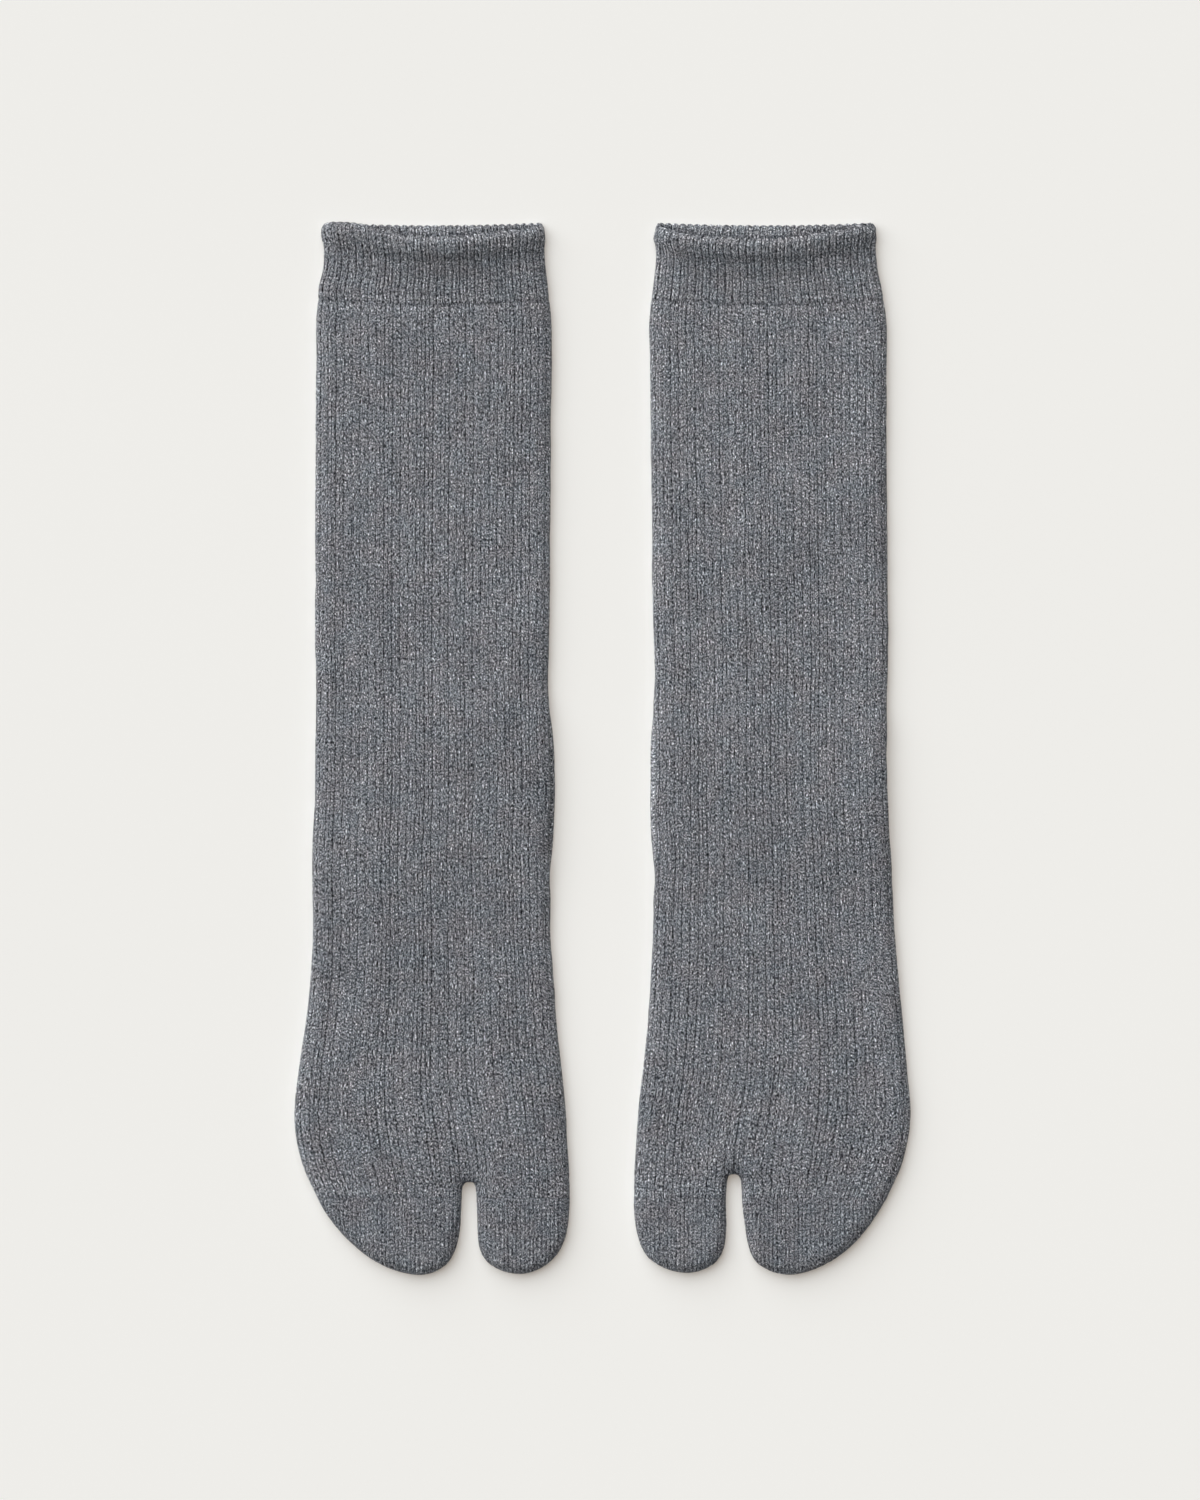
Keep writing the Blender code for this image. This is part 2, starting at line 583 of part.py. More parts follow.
def pocket_ring(section, steps, points_of_a_step, under_steps, depth=0.0):
    """Ring round one toe's tube, from its outer edge over the top and back underneath."""
    top = walk_panel(section, section.a, section.b, steps, points_of_a_step, depth)
    top[0] = (section.a, section.waist, 1.0)
    top.append((section.b, section.waist, 1.0))
    y = row_y(section.a, section, 0.0)
    ring = [Vector((x, y, z)) for x, z, _ in top]
    down_inner = lower_side(section, section.b, -1, 0.0)
    down_outer = lower_side(section, section.a, 1, 0.0)
    ring += [Vector((x, y, z)) for x, z in down_inner]
    start, end = down_inner[-1][0], down_outer[-1][0]
    for step in range(1, under_steps):
        ring.append(Vector((start + (end - start) * step / under_steps, y, section.low)))
    return ring + [Vector((x, y, z)) for x, z in reversed(down_outer)]


def build_pocket(mesh, rows, tip_down, side):
    """Plain-knit toe pocket: open at the toe line, rounded and closed at its tip."""
    rows = (rows[0]._replace(down=rows[0].down + SEAM_GAP / 2),) + rows[1:]
    cleft_at_b = rows[0].outer < 0
    foot_folds = (FOLD_DEPTH, FORK_FOLD_DEPTH) if cleft_at_b else (FORK_FOLD_DEPTH, FOLD_DEPTH)
    sections = []
    for index, edges in enumerate(rows):
        before = rows[max(index - 1, 0)]
        after = rows[min(index + 1, len(rows) - 1)]
        sections.append(pocket_section(edges, before, after, tip_down, foot_folds))
    step = (RibPoint(0.0, 1.0),)
    outer = [add_ring(mesh, pocket_ring(section, TOE_STEPS, step, UNDER_STEPS[0]), side)
             for section in sections]
    hollow_rows = [section for section in sections if tip_down - section.down > SIDE_WALL + TIP_WALL]
    inner = [add_ring(mesh, inner_ring(section, (POCKET_INNER_STEPS, 0), section.b - section.wall_b), side)
             for section in hollow_rows]
    join_all(mesh, outer)
    join_all(mesh, inner)
    join_rings(mesh, outer[0], inner[0])
    last = sections[-1]
    tip = Vector((0.5 * (last.a + last.b), MOUTH_Y - tip_down, last.waist))
    close_tip(mesh, outer[-1], add_ring(mesh, [tip], side)[0])
    hollow_end = hollow_rows[-1]
    middle = 0.5 * (hollow_end.a + hollow_end.b)
    hollow_tip = Vector((middle, MOUTH_Y - tip_down + SIDE_WALL, hollow_end.floor + TIP_HOLLOW_RISE))
    close_tip(mesh, inner[-1], add_ring(mesh, [hollow_tip], side)[0])


# ---- objects -------------------------------------------------------------------------------------
def make_material(finish):
    """Plain matt material in the knit's mean colour."""
    material = bpy.data.materials.new(finish.name)
    material.use_nodes = True
    shader = material.node_tree.nodes["Principled BSDF"]
    shader.inputs["Base Color"].default_value = finish.color
    shader.inputs["Roughness"].default_value = finish.roughness
    shader.inputs["Metallic"].default_value = 0.0
    material.diffuse_color = finish.color
    return material


def make_piece(name, parent, material, build):
    """One closed cloth wall as an object under its sock's empty."""
    mesh = bmesh.new()
    build(mesh)
    bmesh.ops.recalc_face_normals(mesh, faces=mesh.faces)
    if mesh.calc_volume(signed=True) < 0:
        bmesh.ops.reverse_faces(mesh, faces=mesh.faces)
    data = bpy.data.meshes.new(name)
    mesh.to_mesh(data)
    mesh.free()
    data.shade_smooth()
    data.set_sharp_from_angle(angle=SHARP_ANGLE)
    data.materials.append(material)
    piece = bpy.data.objects.new(name, data)
    piece.parent = parent
    bpy.context.scene.collection.objects.link(piece)


def make_sock(sock, ribbed, plain):
    """The four pieces of one sock, under an empty on its centreline."""
    empty = bpy.data.objects.new(sock.name, None)
    empty.location.x = sock.centre_x * MM
    bpy.context.scene.collection.objects.link(empty)
    make_piece(f"{sock.name}_cuff", empty, ribbed, lambda mesh: build_cuff(mesh, sock))
    make_piece(f"{sock.name}_leg_and_foot", empty, ribbed, lambda mesh: build_leg_and_foot(mesh, sock))
    make_piece(f"{sock.name}_four_toe_pocket", empty, plain,
               lambda mesh: build_pocket(mesh, sock.four_toe, sock.four_toe_tip, sock.side))
    make_piece(f"{sock.name}_big_toe_pocket", empty, plain,
               lambda mesh: build_pocket(mesh, sock.big_toe, sock.big_toe_tip, sock.side))


def main():
    for existing in list(bpy.data.objects):
        bpy.data.objects.remove(existing)
    ribbed = make_material(RIBBED_KNIT)
    plain = make_material(PLAIN_KNIT)
    for sock in (RIGHT_FOOT, LEFT_FOOT):
        make_sock(sock, ribbed, plain)


main()
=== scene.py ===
"""Pair of ribbed split-toe socks in grey marled wool, laid flat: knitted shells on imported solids.

Each sock is worked out in millimetres in a frame of its own, as its solids are: x runs across it
from the outer edge (minus) to the inner edge, where the big toe is (plus), and "down" is the
distance from the mouth towards the toes. Grids of points run round and along each tube, one wale
across and one course along being the knit's own unit. The relief of ribs and stitches is real
mesh, and the yarn is a material.
"""

import math
from collections import namedtuple

import bpy
import numpy as np
from bpy.props import FloatProperty, FloatVectorProperty, PointerProperty
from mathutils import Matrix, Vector


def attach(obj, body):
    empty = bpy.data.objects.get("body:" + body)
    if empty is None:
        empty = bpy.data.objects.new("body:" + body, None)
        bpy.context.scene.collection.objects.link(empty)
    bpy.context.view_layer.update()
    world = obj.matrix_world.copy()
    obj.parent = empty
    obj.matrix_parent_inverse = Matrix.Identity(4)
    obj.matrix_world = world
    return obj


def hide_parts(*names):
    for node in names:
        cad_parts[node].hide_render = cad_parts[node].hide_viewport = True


bl_info = {
    "name": "Ribbed split-toe socks",
    "version": (1, 0, 0),
    "blender": (4, 5, 0),
    "location": "3D View > Sidebar > Socks",
    "description": "Knits a pair of marled split-toe socks round their packed solids",
    "category": "Object",
}

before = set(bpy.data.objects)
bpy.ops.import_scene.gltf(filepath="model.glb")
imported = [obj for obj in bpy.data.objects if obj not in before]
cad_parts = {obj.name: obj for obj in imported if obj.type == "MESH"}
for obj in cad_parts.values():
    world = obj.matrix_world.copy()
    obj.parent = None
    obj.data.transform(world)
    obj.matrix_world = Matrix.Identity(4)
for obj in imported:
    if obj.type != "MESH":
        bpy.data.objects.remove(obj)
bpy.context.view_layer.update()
MM = 0.001

# ---- form shared with the solids, in millimetres -----------------------------------------------
PAIR_LENGTH = 399.9
MOUTH_Y = PAIR_LENGTH / 2
CUFF_SEAM = 29.3
TOE_LINE = 370.5
FOOT_TOP = 5.6              # height beside the side folds, in the plain part of the leg
WALL = 2.0
SIDE_WALL = 2.4
FOLD_DEPTH = 7.0            # how far in a side fold's rounding reaches
TOE_FOLD_DEPTH = 4.6        # the same round the toe pockets
FORK_FOLD_DEPTH = 3.4       # the same beside the cleft
TOE_SETTLE = 10.0           # length over which the foot's folds become the toe pockets'
REST_INSET = 2.6            # how far in from a side's edge the underside starts
WAIST_SHARE = 0.45          # height of a side's edge, its widest point, as a share of the top
HEEL_OUT = 1.5              # how far the folded heel stands out at the ankle's inner side
HEEL_RAISE = 1.2            # how much it lifts that edge
DIMPLE_REACH = 12.0         # the foot sinks towards the crotch of the cleft over this length
DIMPLE_WIDTH = 4.5
CROTCH_HEIGHT = 5.0
CLEFT_LEAD = 45.0           # the ribs bend towards the cleft over this length above its crotch
INNER_CROTCH_ABOVE = 4.5    # the inside forks this far above the crotch
HOLLOW_MIN = 0.5            # least height of the hollow, and the share of it left at its ends
HOLLOW_END_RISE = 0.35
HOLLOW_LIFT = 0.3           # share of the underside's rise at a tip that the hollow's floor takes
TIP_WALL = 2.5
WALL_LIMIT = 0.9            # most of a toe pocket's half width that its side wall may take
PROFILE_STEPS = 240         # steps used to measure along a profile before it is divided evenly

# The side over the folded heel: how far in from its edge and how high, from edge to surface. None
# stands for the edge's own height. The first two lie HEEL_OUT further in at the inner side.
HEEL_SIDE = ((0.0, None), (0.9, 3.7), (0.0, 1.9), (1.4, 0.0))

# top: upper panel near the side folds; arch: extra at the centre; dip: sag of the panel's line at
# the centre; floor: back panel's thickness; layers: how far the sides show the heel's layers.
Level = namedtuple("Level", "down top arch dip floor layers")
LEVELS = (
    Level(0.0, 6.2, 4.4, 5.7, 2.0, 0.0),
    Level(2.6, 6.6, 4.8, 5.4, 2.0, 0.0),
    Level(5.6, 5.9, 4.6, 5.0, 2.0, 0.0),
    Level(12.0, 5.6, 3.2, 4.0, 2.0, 0.0),
    Level(20.0, 5.5, 1.3, 2.9, 2.0, 0.0),
    Level(CUFF_SEAM, FOOT_TOP, 0.5, 2.0, 2.0, 0.0),
    Level(64.0, FOOT_TOP, 0.3, 0.0, 2.0, 0.0),
    Level(174.0, 5.7, 0.3, 0.0, 2.0, 0.0),
    Level(200.0, 7.8, 0.4, 0.0, 4.2, 1.0),
    Level(231.0, 7.8, 0.4, 0.0, 4.2, 1.0),
    Level(262.0, 6.0, 0.4, 0.0, 2.2, 0.0),
    Level(307.0, 5.8, 0.5, 0.0, 2.0, 0.0),
    Level(401.0, 6.4, 0.4, 0.0, 2.0, 0.0),
)

# A cut across a tube, at a Level's heights. a, b: side edges; waist: their height; fold_a, fold_b:
# how far in their rounding reaches; low: height of the underside; cleft, dimple: where and how far
# the top sinks; wall_a, wall_b: thickness of the side walls.
Section = namedtuple("Section", "down a b top arch dip floor layers waist fold_a fold_b low cleft "
                     "dimple wall_a wall_b")

# Side edges down the sock, of the cleft below its crotch, and of the two toe pockets.
Edges = namedtuple("Edges", "down outer inner")
Toe = namedtuple("Toe", "rows tip")
# A soft crease or swelling of the upper panel: where its middle is, its half length and half width,
# its height (minus for a trough) and the angle of its length to the ribs, in degrees.
Crease = namedtuple("Crease", "down x length width height angle")
# How far the front panel's rim sags, at shares across from the outer edge (-1) to the inner (1).
Rim = namedtuple("Rim", "across sag")
Sock = namedtuple("Sock", "name centre_x side seed edges rim cleft four_toe big_toe creases")


def table(kind, *rows):
    """A table's rows, each of a kind."""
    return tuple(kind(*row) for row in rows)


RIGHT_FOOT = Sock(
    name="right_foot", centre_x=-64.4, side=1, seed=11,
    edges=table(
        Edges, (0.0, -42.6, 42.4), (2.6, -42.6, 42.7), (5.6, -42.4, 42.9), (8.2, -41.9, 42.7),
        (18.8, -42.2, 43.2), (24.0, -43.6, 43.8), (29.3, -43.9, 44.4), (37.0, -44.5, 45.1),
        (50.0, -44.5, 45.3), (75.0, -44.7, 45.0), (105.0, -44.8, 44.8), (140.0, -44.95, 44.6),
        (160.0, -45.0, 44.35), (174.0, -44.5, 44.1), (187.0, -44.7, 45.4), (200.0, -44.9, 46.3),
        (217.0, -45.0, 46.55), (231.0, -45.8, 46.1), (246.0, -46.2, 45.4), (268.0, -45.7, 44.9),
        (290.0, -47.0, 46.3), (307.0, -49.0, 47.5), (323.0, -51.3, 49.2), (340.0, -52.8, 50.9),
        (352.0, -51.5, 51.4), (360.0, -49.1, 52.0), (TOE_LINE, -44.0, 52.1)),
    rim=table(
        Rim, (-1.0, 0.0), (-0.7, 0.4), (-0.45, 2.7), (-0.27, 4.6), (-0.08, 5.5), (0.2, 5.4),
        (0.4, 4.7), (0.55, 3.9), (0.75, 2.7), (0.92, 1.8), (1.0, 0.6)),
    cleft=table(
        Edges, (364.6, 13.9, 13.9), (365.1, 12.4, 15.3), (366.6, 11.4, 16.0),
        (TOE_LINE, 11.1, 16.4)),
    four_toe=Toe(table(
        Edges, (TOE_LINE, -44.0, 11.1), (374.0, -42.2, 11.0), (378.3, -39.4, 10.8),
        (382.9, -35.9, 10.2), (387.0, -32.1, 9.5), (390.8, -27.8, 8.5), (394.2, -22.9, 6.8),
        (396.9, -17.9, 4.1), (398.6, -13.0, 1.0), (399.5, -8.8, -1.8)), 399.9),
    big_toe=Toe(table(
        Edges, (TOE_LINE, 16.4, 52.1), (377.0, 16.7, 51.8), (382.9, 16.8, 51.1),
        (387.0, 17.1, 49.9), (390.8, 18.0, 48.0), (394.2, 19.9, 45.4), (396.9, 23.0, 41.9),
        (398.5, 26.9, 38.3), (399.2, 29.7, 35.9)), 399.5),
    creases=table(
        Crease, (46.0, -31.0, 16.0, 5.0, -0.45, 24.0), (79.0, -22.0, 13.0, 4.0, -0.30, 38.0),
        (92.0, 14.0, 15.0, 5.0, 0.25, -60.0), (188.0, 36.0, 16.0, 5.0, -0.50, -28.0),
        (172.0, 30.0, 15.0, 5.0, 0.30, -34.0), (214.0, 22.0, 24.0, 5.0, -0.30, 70.0),
        (262.0, 33.0, 20.0, 6.0, -0.45, 12.0), (292.0, -37.0, 20.0, 5.5, -0.45, -14.0),
        (330.0, 12.0, 24.0, 5.0, -0.30, 8.0), (338.0, 30.0, 14.0, 5.0, 0.25, -35.0)),
)

LEFT_FOOT = Sock(
    name="left_foot", centre_x=63.3, side=-1, seed=23,
    edges=table(
        Edges, (0.0, -40.8, 43.3), (2.6, -40.8, 43.8), (5.6, -41.0, 44.2), (8.2, -40.8, 43.6),
        (18.8, -41.6, 43.6), (24.0, -42.7, 44.2), (29.3, -43.6, 45.0), (37.0, -44.6, 45.8),
        (50.0, -44.8, 45.6), (75.0, -44.7, 45.3), (105.0, -44.9, 44.8), (140.0, -45.3, 44.6),
        (160.0, -45.4, 43.95), (174.0, -45.1, 43.7), (187.0, -45.0, 44.9), (200.0, -44.8, 45.2),
        (231.0, -45.9, 45.2), (246.0, -46.9, 44.5), (268.0, -47.8, 44.4), (290.0, -49.6, 45.4),
        (307.0, -51.3, 46.7), (323.0, -52.6, 48.3), (340.0, -53.9, 50.2), (352.0, -52.1, 50.9),
        (358.0, -50.5, 51.3), (TOE_LINE, -44.9, 51.5)),
    rim=table(
        Rim, (-1.0, 0.0), (-0.86, 0.9), (-0.7, 2.3), (-0.5, 4.0), (-0.37, 5.0), (-0.19, 6.0),
        (0.0, 6.4), (0.3, 6.1), (0.54, 5.3), (0.66, 4.7), (0.76, 4.0), (0.9, 2.3), (1.0, 0.4)),
    cleft=table(
        Edges, (361.6, 13.5, 13.5), (362.1, 12.0, 15.0), (363.8, 11.0, 15.7),
        (TOE_LINE, 10.5, 16.3)),
    four_toe=Toe(table(
        Edges, (TOE_LINE, -44.9, 10.5), (374.0, -42.9, 10.2), (378.3, -40.1, 9.8),
        (382.9, -36.8, 9.2), (387.0, -33.2, 8.5), (390.8, -29.1, 7.5), (394.2, -24.3, 5.7),
        (396.9, -19.4, 2.8), (398.6, -14.8, -0.9), (399.4, -11.4, -4.0)), 399.8),
    big_toe=Toe(table(
        Edges, (TOE_LINE, 16.3, 51.5), (377.0, 16.2, 51.4), (382.9, 16.2, 50.7),
        (387.0, 16.5, 49.6), (390.8, 17.5, 47.8), (394.2, 19.6, 44.9), (396.9, 22.9, 41.1),
        (398.1, 25.7, 37.6), (398.8, 28.1, 34.3)), 399.1),
    creases=table(
        Crease, (48.0, 24.0, 18.0, 6.0, -0.35, -20.0), (97.0, 33.0, 26.0, 5.0, -0.30, 6.0),
        (120.0, 6.0, 17.0, 5.0, 0.25, 55.0), (180.0, 28.0, 15.0, 6.0, -0.50, 10.0),
        (186.0, -38.0, 12.0, 5.0, -0.45, 40.0), (206.0, 2.0, 24.0, 5.0, 0.30, 76.0),
        (226.0, -22.0, 20.0, 5.0, -0.28, -64.0), (268.0, -38.0, 20.0, 5.5, -0.35, 14.0),
        (330.0, 14.0, 22.0, 5.0, -0.35, -8.0), (346.0, 26.0, 16.0, 8.0, -0.45, 20.0)),
)
SOCKS = (RIGHT_FOOT, LEFT_FOOT)

# ---- grids -------------------------------------------------------------------------------------
# Wales over the upper panel outside and inside the cleft's line, and down each side.
LEG_WALES = (36, 24)
CUFF_WALES = (38, 24)
SIDE_WALES = 3

# Points round a ring. top, under: outside and inside the cleft's line; side: down one side.
Columns = namedtuple("Columns", "top side under")
LEG_COLUMNS = Columns((72, 48), 8, (22, 14))
CUFF_COLUMNS = Columns((114, 72), 9, (68, 44))
FOUR_TOE_COLUMNS = Columns((150, 0), 8, (50, 0))
BIG_TOE_COLUMNS = Columns((100, 0), 8, (36, 0))
CUFF_ROWS = (4, 2)          # rows to a course, outside and inside
LEG_ROWS = 2                # rows to a course
FORK_ROWS = 9
TOE_LINE_HEM = 0.12         # length of the last row on each side of the toe line, for a crisp join
INNER_ROWS = 30
RIM_ROWS = 7
TOE_ROWS = 84
TOE_INNER_ROWS = 12
LAST_REACH = 0.12           # square root of the last ring's distance to a toe pocket's tip
TOE_CURVE_ORDER = 5
LINE_FADE_POWER = 6         # how soon the curve's misses at the toe line and at the tip fade out
TIP_FADE_SPEED = 3
LEAN_STEP = 0.05            # step over which a toe pocket's edge is measured for its slope
BEFORE, AFTER = slice(None, -1), slice(1, None)

# Parts of the unit square that the grids take: left, low, right and high.
WHOLE_CHART = (0.01, 0.01, 0.99, 0.99)
LEG_CHART = (0.0, 0.06, 0.86, 0.99)
LEG_INSIDE_CHART = (0.88, 0.02, 0.99, 0.98)
LEG_HEM_CHART = (0.0, 0.991, 0.86, 0.999)
FORK_CHARTS = ((0.0, 0.0, 0.42, 0.055), (0.43, 0.0, 0.85, 0.055))
TIP_SPOT = (0.995, 0.005)
HOLLOW_SPOT = (0.995, 0.995)

# Wales and courses by which each sock's yarn is moved on, times its seed.
KNIT_SHIFT = (6, 40)
HEM_WALK = 1                # the knit map runs on by this much where the cuff turns in at its seam

# ---- relief, in millimetres --------------------------------------------------------------------
# Added to the sock's seed for each part's random fields.
INSIDE_SEED = 3
LEG_SEED = 40
FORK_SEED = 60
TOE_SEED = 80
SWELL_SEEDS = (5, 6)

# Random fields: their share, and their spacing in rows and columns.
Field = namedtuple("Field", "share spacing")
RIB_UNEVEN = Field(0.45, (14, 2))
WALE_UNEVEN = Field(0.6, (9, 2))
SWELLS = (Field(1.0, (9, 7)), Field(0.7, (27, 17)))
CUFF_SWELL = 0.6            # share of the swellings that the cuff and the toe pockets take
TOE_SWELL = 0.7
GROOVE_SHARPNESS = 4
INSIDE_RELIEF = 1.2         # the ribs' relief inside the cuff, against the outside
CREASE_BEND = 0.12          # how much a crease curves along its length

# Ridges and troughs that run all round: the rolled edge, its lip and the trough under it.
Ridge = namedtuple("Ridge", "down width height")
ROLL = Ridge(5.0, 2.6, 0.40)
LIP = Ridge(0.0, 1.7, -0.8)
TROUGH = Ridge(12.0, 4.6, -0.75)

# Heights between which the relief, the seam's dip and the roll set in above the surface.
RELIEF_RISE = (0.15, 2.4)
SEAM_RISE = (0.0, 0.6)
ROLL_RISE = (2.8, 5.8)

# Something that sets in or fades out: where it starts, and over what length.
Fade = namedtuple("Fade", "start length")
RIM_BOW = Fade(3.0, 20.0)   # the rim's own line gives way to the even sag
BACK_SAG = 1.05             # how much lower the back panel's rim is at its centre, and how far down
BACK_SAG_REACH = 20.0
CORNER_ROUND = 2.6          # radius of the mouth's corners, and how far down their rounding fades
CORNER_REACH = 11.0
RIB_FADE = 14.0             # the ribs turn into plain knit over this length above the toe line
TIP_FADE = 3.0              # the knit's relief dies away over this length at the toe pockets' tips
SEAM_REACH = 1.6            # the cuff seam holds the cloth over this length
SEAM_FLATTENS = 0.7         # share of the ribs' relief that it takes
TOE_LINE_REACH = 1.5        # the toe line holds the cloth over this length
TOE_LINE_DIP = 0.3          # shares of the cuff seam's dip and shade that the toe line has
TOE_LINE_SHADE = 0.8

# ---- painted light and shade, and tone, as shares of the wool's brightness ---------------------
ROLL_PAINTED_LIGHT = 0.075          # painted highlight on the roll and painted shade in its trough, for each millimetre of their height
# painted highlight on the rolled rim and its lip
RIM_PAINTED_HIGHLIGHT = 1.08
# the inside of the cuff is lighter: partly the knit's lighter back, partly painted light against
# the shade inside the mouth
INSIDE_TONE_AND_PAINTED_LIGHT = 1.135
INSIDE_PAINTED_SHADE = 0.27        # painted shade under the front panel's rim
RIM_COVER = Fade(2.4, 2.2)  # how far before the rim's line that sets in, and over what length
FOOT_DARKER = 0.034         # towards the toes
FOOT_DARKENS = Fade(90.0, 220.0)
CROTCH_PAINTED_SHADE = 0.38        # painted shade in the dimple at the crotch of the cleft
CROTCH_SPOT = (3.2, 2.2)    # size of that spot across and along, and how far aside it lies
CROTCH_SPOT_ASIDE = 0.6
SIDE_PAINTED_SHEEN = 0.13         # painted sheen on the steep part of the side folds
TOE_PAINTED_SHEEN = 0.21          # painted sheen on the steep part of a toe pocket's folds and tip
FOLD_STEEP = (0.50, 0.80)   # shares of FOOT_TOP between which this fades out upwards
FOLD_FOOT = 0.15            # and the share below which it fades out downwards
SEAM_DARKER = 0.07          # at a seam's line; the next adds painted shade in the grooves that meet it
SEAM_GROOVES_PAINTED_SHADE = 0.16
SEAM_LINE = Ridge(0.0, 0.75, 1.0)
SEAM_RIDGE = Ridge(2.1, 0.8, 0.07)      # lighter, beside that line

# ---- yarn --------------------------------------------------------------------------------------
# Strength of the grooves between ribs and between the wales of a rib, how uneven they are, the
# brightness, and the share of the yarn's contrast.
Look = namedtuple("Look", "ribs wales uneven shade marl")
CUFF_LOOK = Look(1.25, 0.55, 1.0, 1.005, 1.0)
LEG_LOOK = Look(0.85, 0.5, 1.0, 0.996, 1.0)
TOE_LOOK = Look(0.42, 0.42, 0.5, 1.0, 0.84)

# Noise over the knit: changes for each wale and each course, depth in the noise, and its detail.
Pattern = namedtuple("Pattern", "wales courses depth detail")
BEND = Pattern(0.5, 0.12, 0.0, 1.0)
SLIP = Pattern(0.35, 0.6, 7.0, 1.0)
FLECK = Pattern(2.6, 4.9, 0.0, 1.0)
LENGTH = Pattern(0.45, 1.6, 3.0, 1.0)
PATCH = Pattern(0.12, 0.09, 5.0, 3.0)
SLOW_PATCH = Pattern(0.045, 0.03, 13.0, 1.0)
CAST = Pattern(0.16, 0.13, 9.0, 4.0)
GROOVE_WANDER = Pattern(3.7, 0.10, 0.0, 3.0)

BEND_WALES = 0.7            # how far the wales wander to the side, and the courses along
SLIP_COURSES = 1.4
STRAND_ROUND = 2.5          # power that rounds a strand across
RIB_GROOVE_WIDTH = 0.13     # half widths of the grooves, in pairs of wales
WALE_GROOVE_WIDTH = 0.10
GROOVE_OFFSET = 0.3         # keeps a groove's number clear of whole numbers
GROOVE_UNEVEN = 0.65        # how a groove's strength differs from line to line, and along it
GROOVE_FADES = 1.9
BASE_TONE = 0.358           # the wool's tone
STITCH_TONE = 0.10          # how much stitches, lengths of yarn and patches change it, and the painted shading across strands
LENGTH_TONE = 0.30
PATCH_TONE = 0.11
STRAND_PAINTED_SHADING = 0.12
GROOVE_PAINTED_SHADE = 0.25          # painted shade: how much darker a groove is
CAST_CONTRAST = 3.6
TONE_GAMMA = 2.2            # tones are even steps to the eye
STRAND_HEIGHT = 0.6         # height of strands and flecks, as shares of the yarn's relief
FLECK_HEIGHT = 1.1
WOOL_SPECULAR = 0.2
SHEEN_ROUGHNESS = 0.6

# ---- stage -------------------------------------------------------------------------------------
FLOOR_DROP = 0.1 * MM       # the floor lies just below the cloth, so no two faces share a plane
FLOOR_ROUGHNESS = 0.9
FLOOR_SPECULAR = 0.1
MOTTLE_SCALE = 3.0          # faint mottling of the floor
MOTTLE = 0.03
PIXEL = 0.38 * MM           # real size of one pixel of the 1200 by 1500 frame
FRAME_HEIGHT = 1500 * PIXEL
AIM = (-2.5 * PIXEL, -1.5 * PIXEL)
VIEW_REACH = 100.0
KEY_FROM = (-0.68, 0.80, 1.0)
SKY_COLOUR = (1.0, 0.995, 0.985, 1.0)
# warm colour of the floor's painted glow, which lightens and warms the shadows on it
PAINTED_GLOW_COLOUR = (1.0, 0.858, 0.711, 1.0)
KEY_COLOUR = (1.0, 0.99, 0.975)


# ---- sizes and colours that a user would change ------------------------------------------------
class KnitSizes(bpy.types.PropertyGroup):
    """Sizes of the knit."""
    course: FloatProperty(
        name="Course", description="Height of one row of stitches",
        default=1.33 * MM, unit="LENGTH", precision=5)
    toe_wale: FloatProperty(
        name="Toe wale", description="Width of one stitch of the plain toe pockets",
        default=1.6 * MM, unit="LENGTH", precision=5)
    rib_depth: FloatProperty(
        name="Rib depth", description="From a rib's crest to the groove beside it",
        default=0.5 * MM, unit="LENGTH", precision=5)
    wale_depth: FloatProperty(
        name="Wale depth", description="Depth of the shallow groove between the two wales of a rib",
        default=0.2 * MM, unit="LENGTH", precision=5)
    stitch_depth: FloatProperty(
        name="Stitch depth", description="Height of a single stitch over its neighbours",
        default=0.07 * MM, unit="LENGTH", precision=5)
    slant: FloatProperty(
        name="Slant", default=0.8, subtype="FACTOR", min=0.0, max=2.0,
        description="Courses by which a stitch's legs rise from the wale's middle to its side")
    scallop: FloatProperty(
        name="Scallop", description="How far the rib crests stand past the grooves at the mouth",
        default=0.8 * MM, unit="LENGTH", precision=5)
    seam_dip: FloatProperty(
        name="Seam dip", default=0.4 * MM, unit="LENGTH", precision=5,
        description="How far the cloth is drawn in at the cuff seam and at the toe line")
    unevenness: FloatProperty(
        name="Unevenness", description="Height of the small swellings all over the cloth",
        default=0.16 * MM, unit="LENGTH", precision=5)


class YarnColours(bpy.types.PropertyGroup):
    """Colours and finish of the yarn."""
    cool: FloatVectorProperty(
        name="Cool cast", size=3, default=(-0.025, 0.0, 0.034), min=-0.2, max=0.2,
        description="How far the cooler patches lie from grey in red, green and blue")
    warm: FloatVectorProperty(
        name="Warm cast", size=3, default=(-0.004, 0.0, 0.027), min=-0.2, max=0.2,
        description="How far the warmer patches lie from grey in red, green and blue")
    marl: FloatProperty(
        name="Marl", description="Contrast of the light and dark flecks", default=3.9, min=0.0)
    toe_shade: FloatProperty(
        name="Toe shade", description="Brightness of the plain knit against the rib",
        default=0.957, subtype="FACTOR", min=0.0, max=2.0)
    relief: FloatProperty(
        name="Yarn relief", description="Height of the yarn's strands in the material",
        default=0.25 * MM, unit="LENGTH", precision=5)
    roughness: FloatProperty(
        name="Roughness", description="Roughness of the wool", subtype="FACTOR", default=0.95,
        min=0.0, max=1.0)
    sheen: FloatProperty(
        name="Nap", description="Strength of the nap's soft sheen", subtype="FACTOR", default=0.1,
        min=0.0, max=1.0)


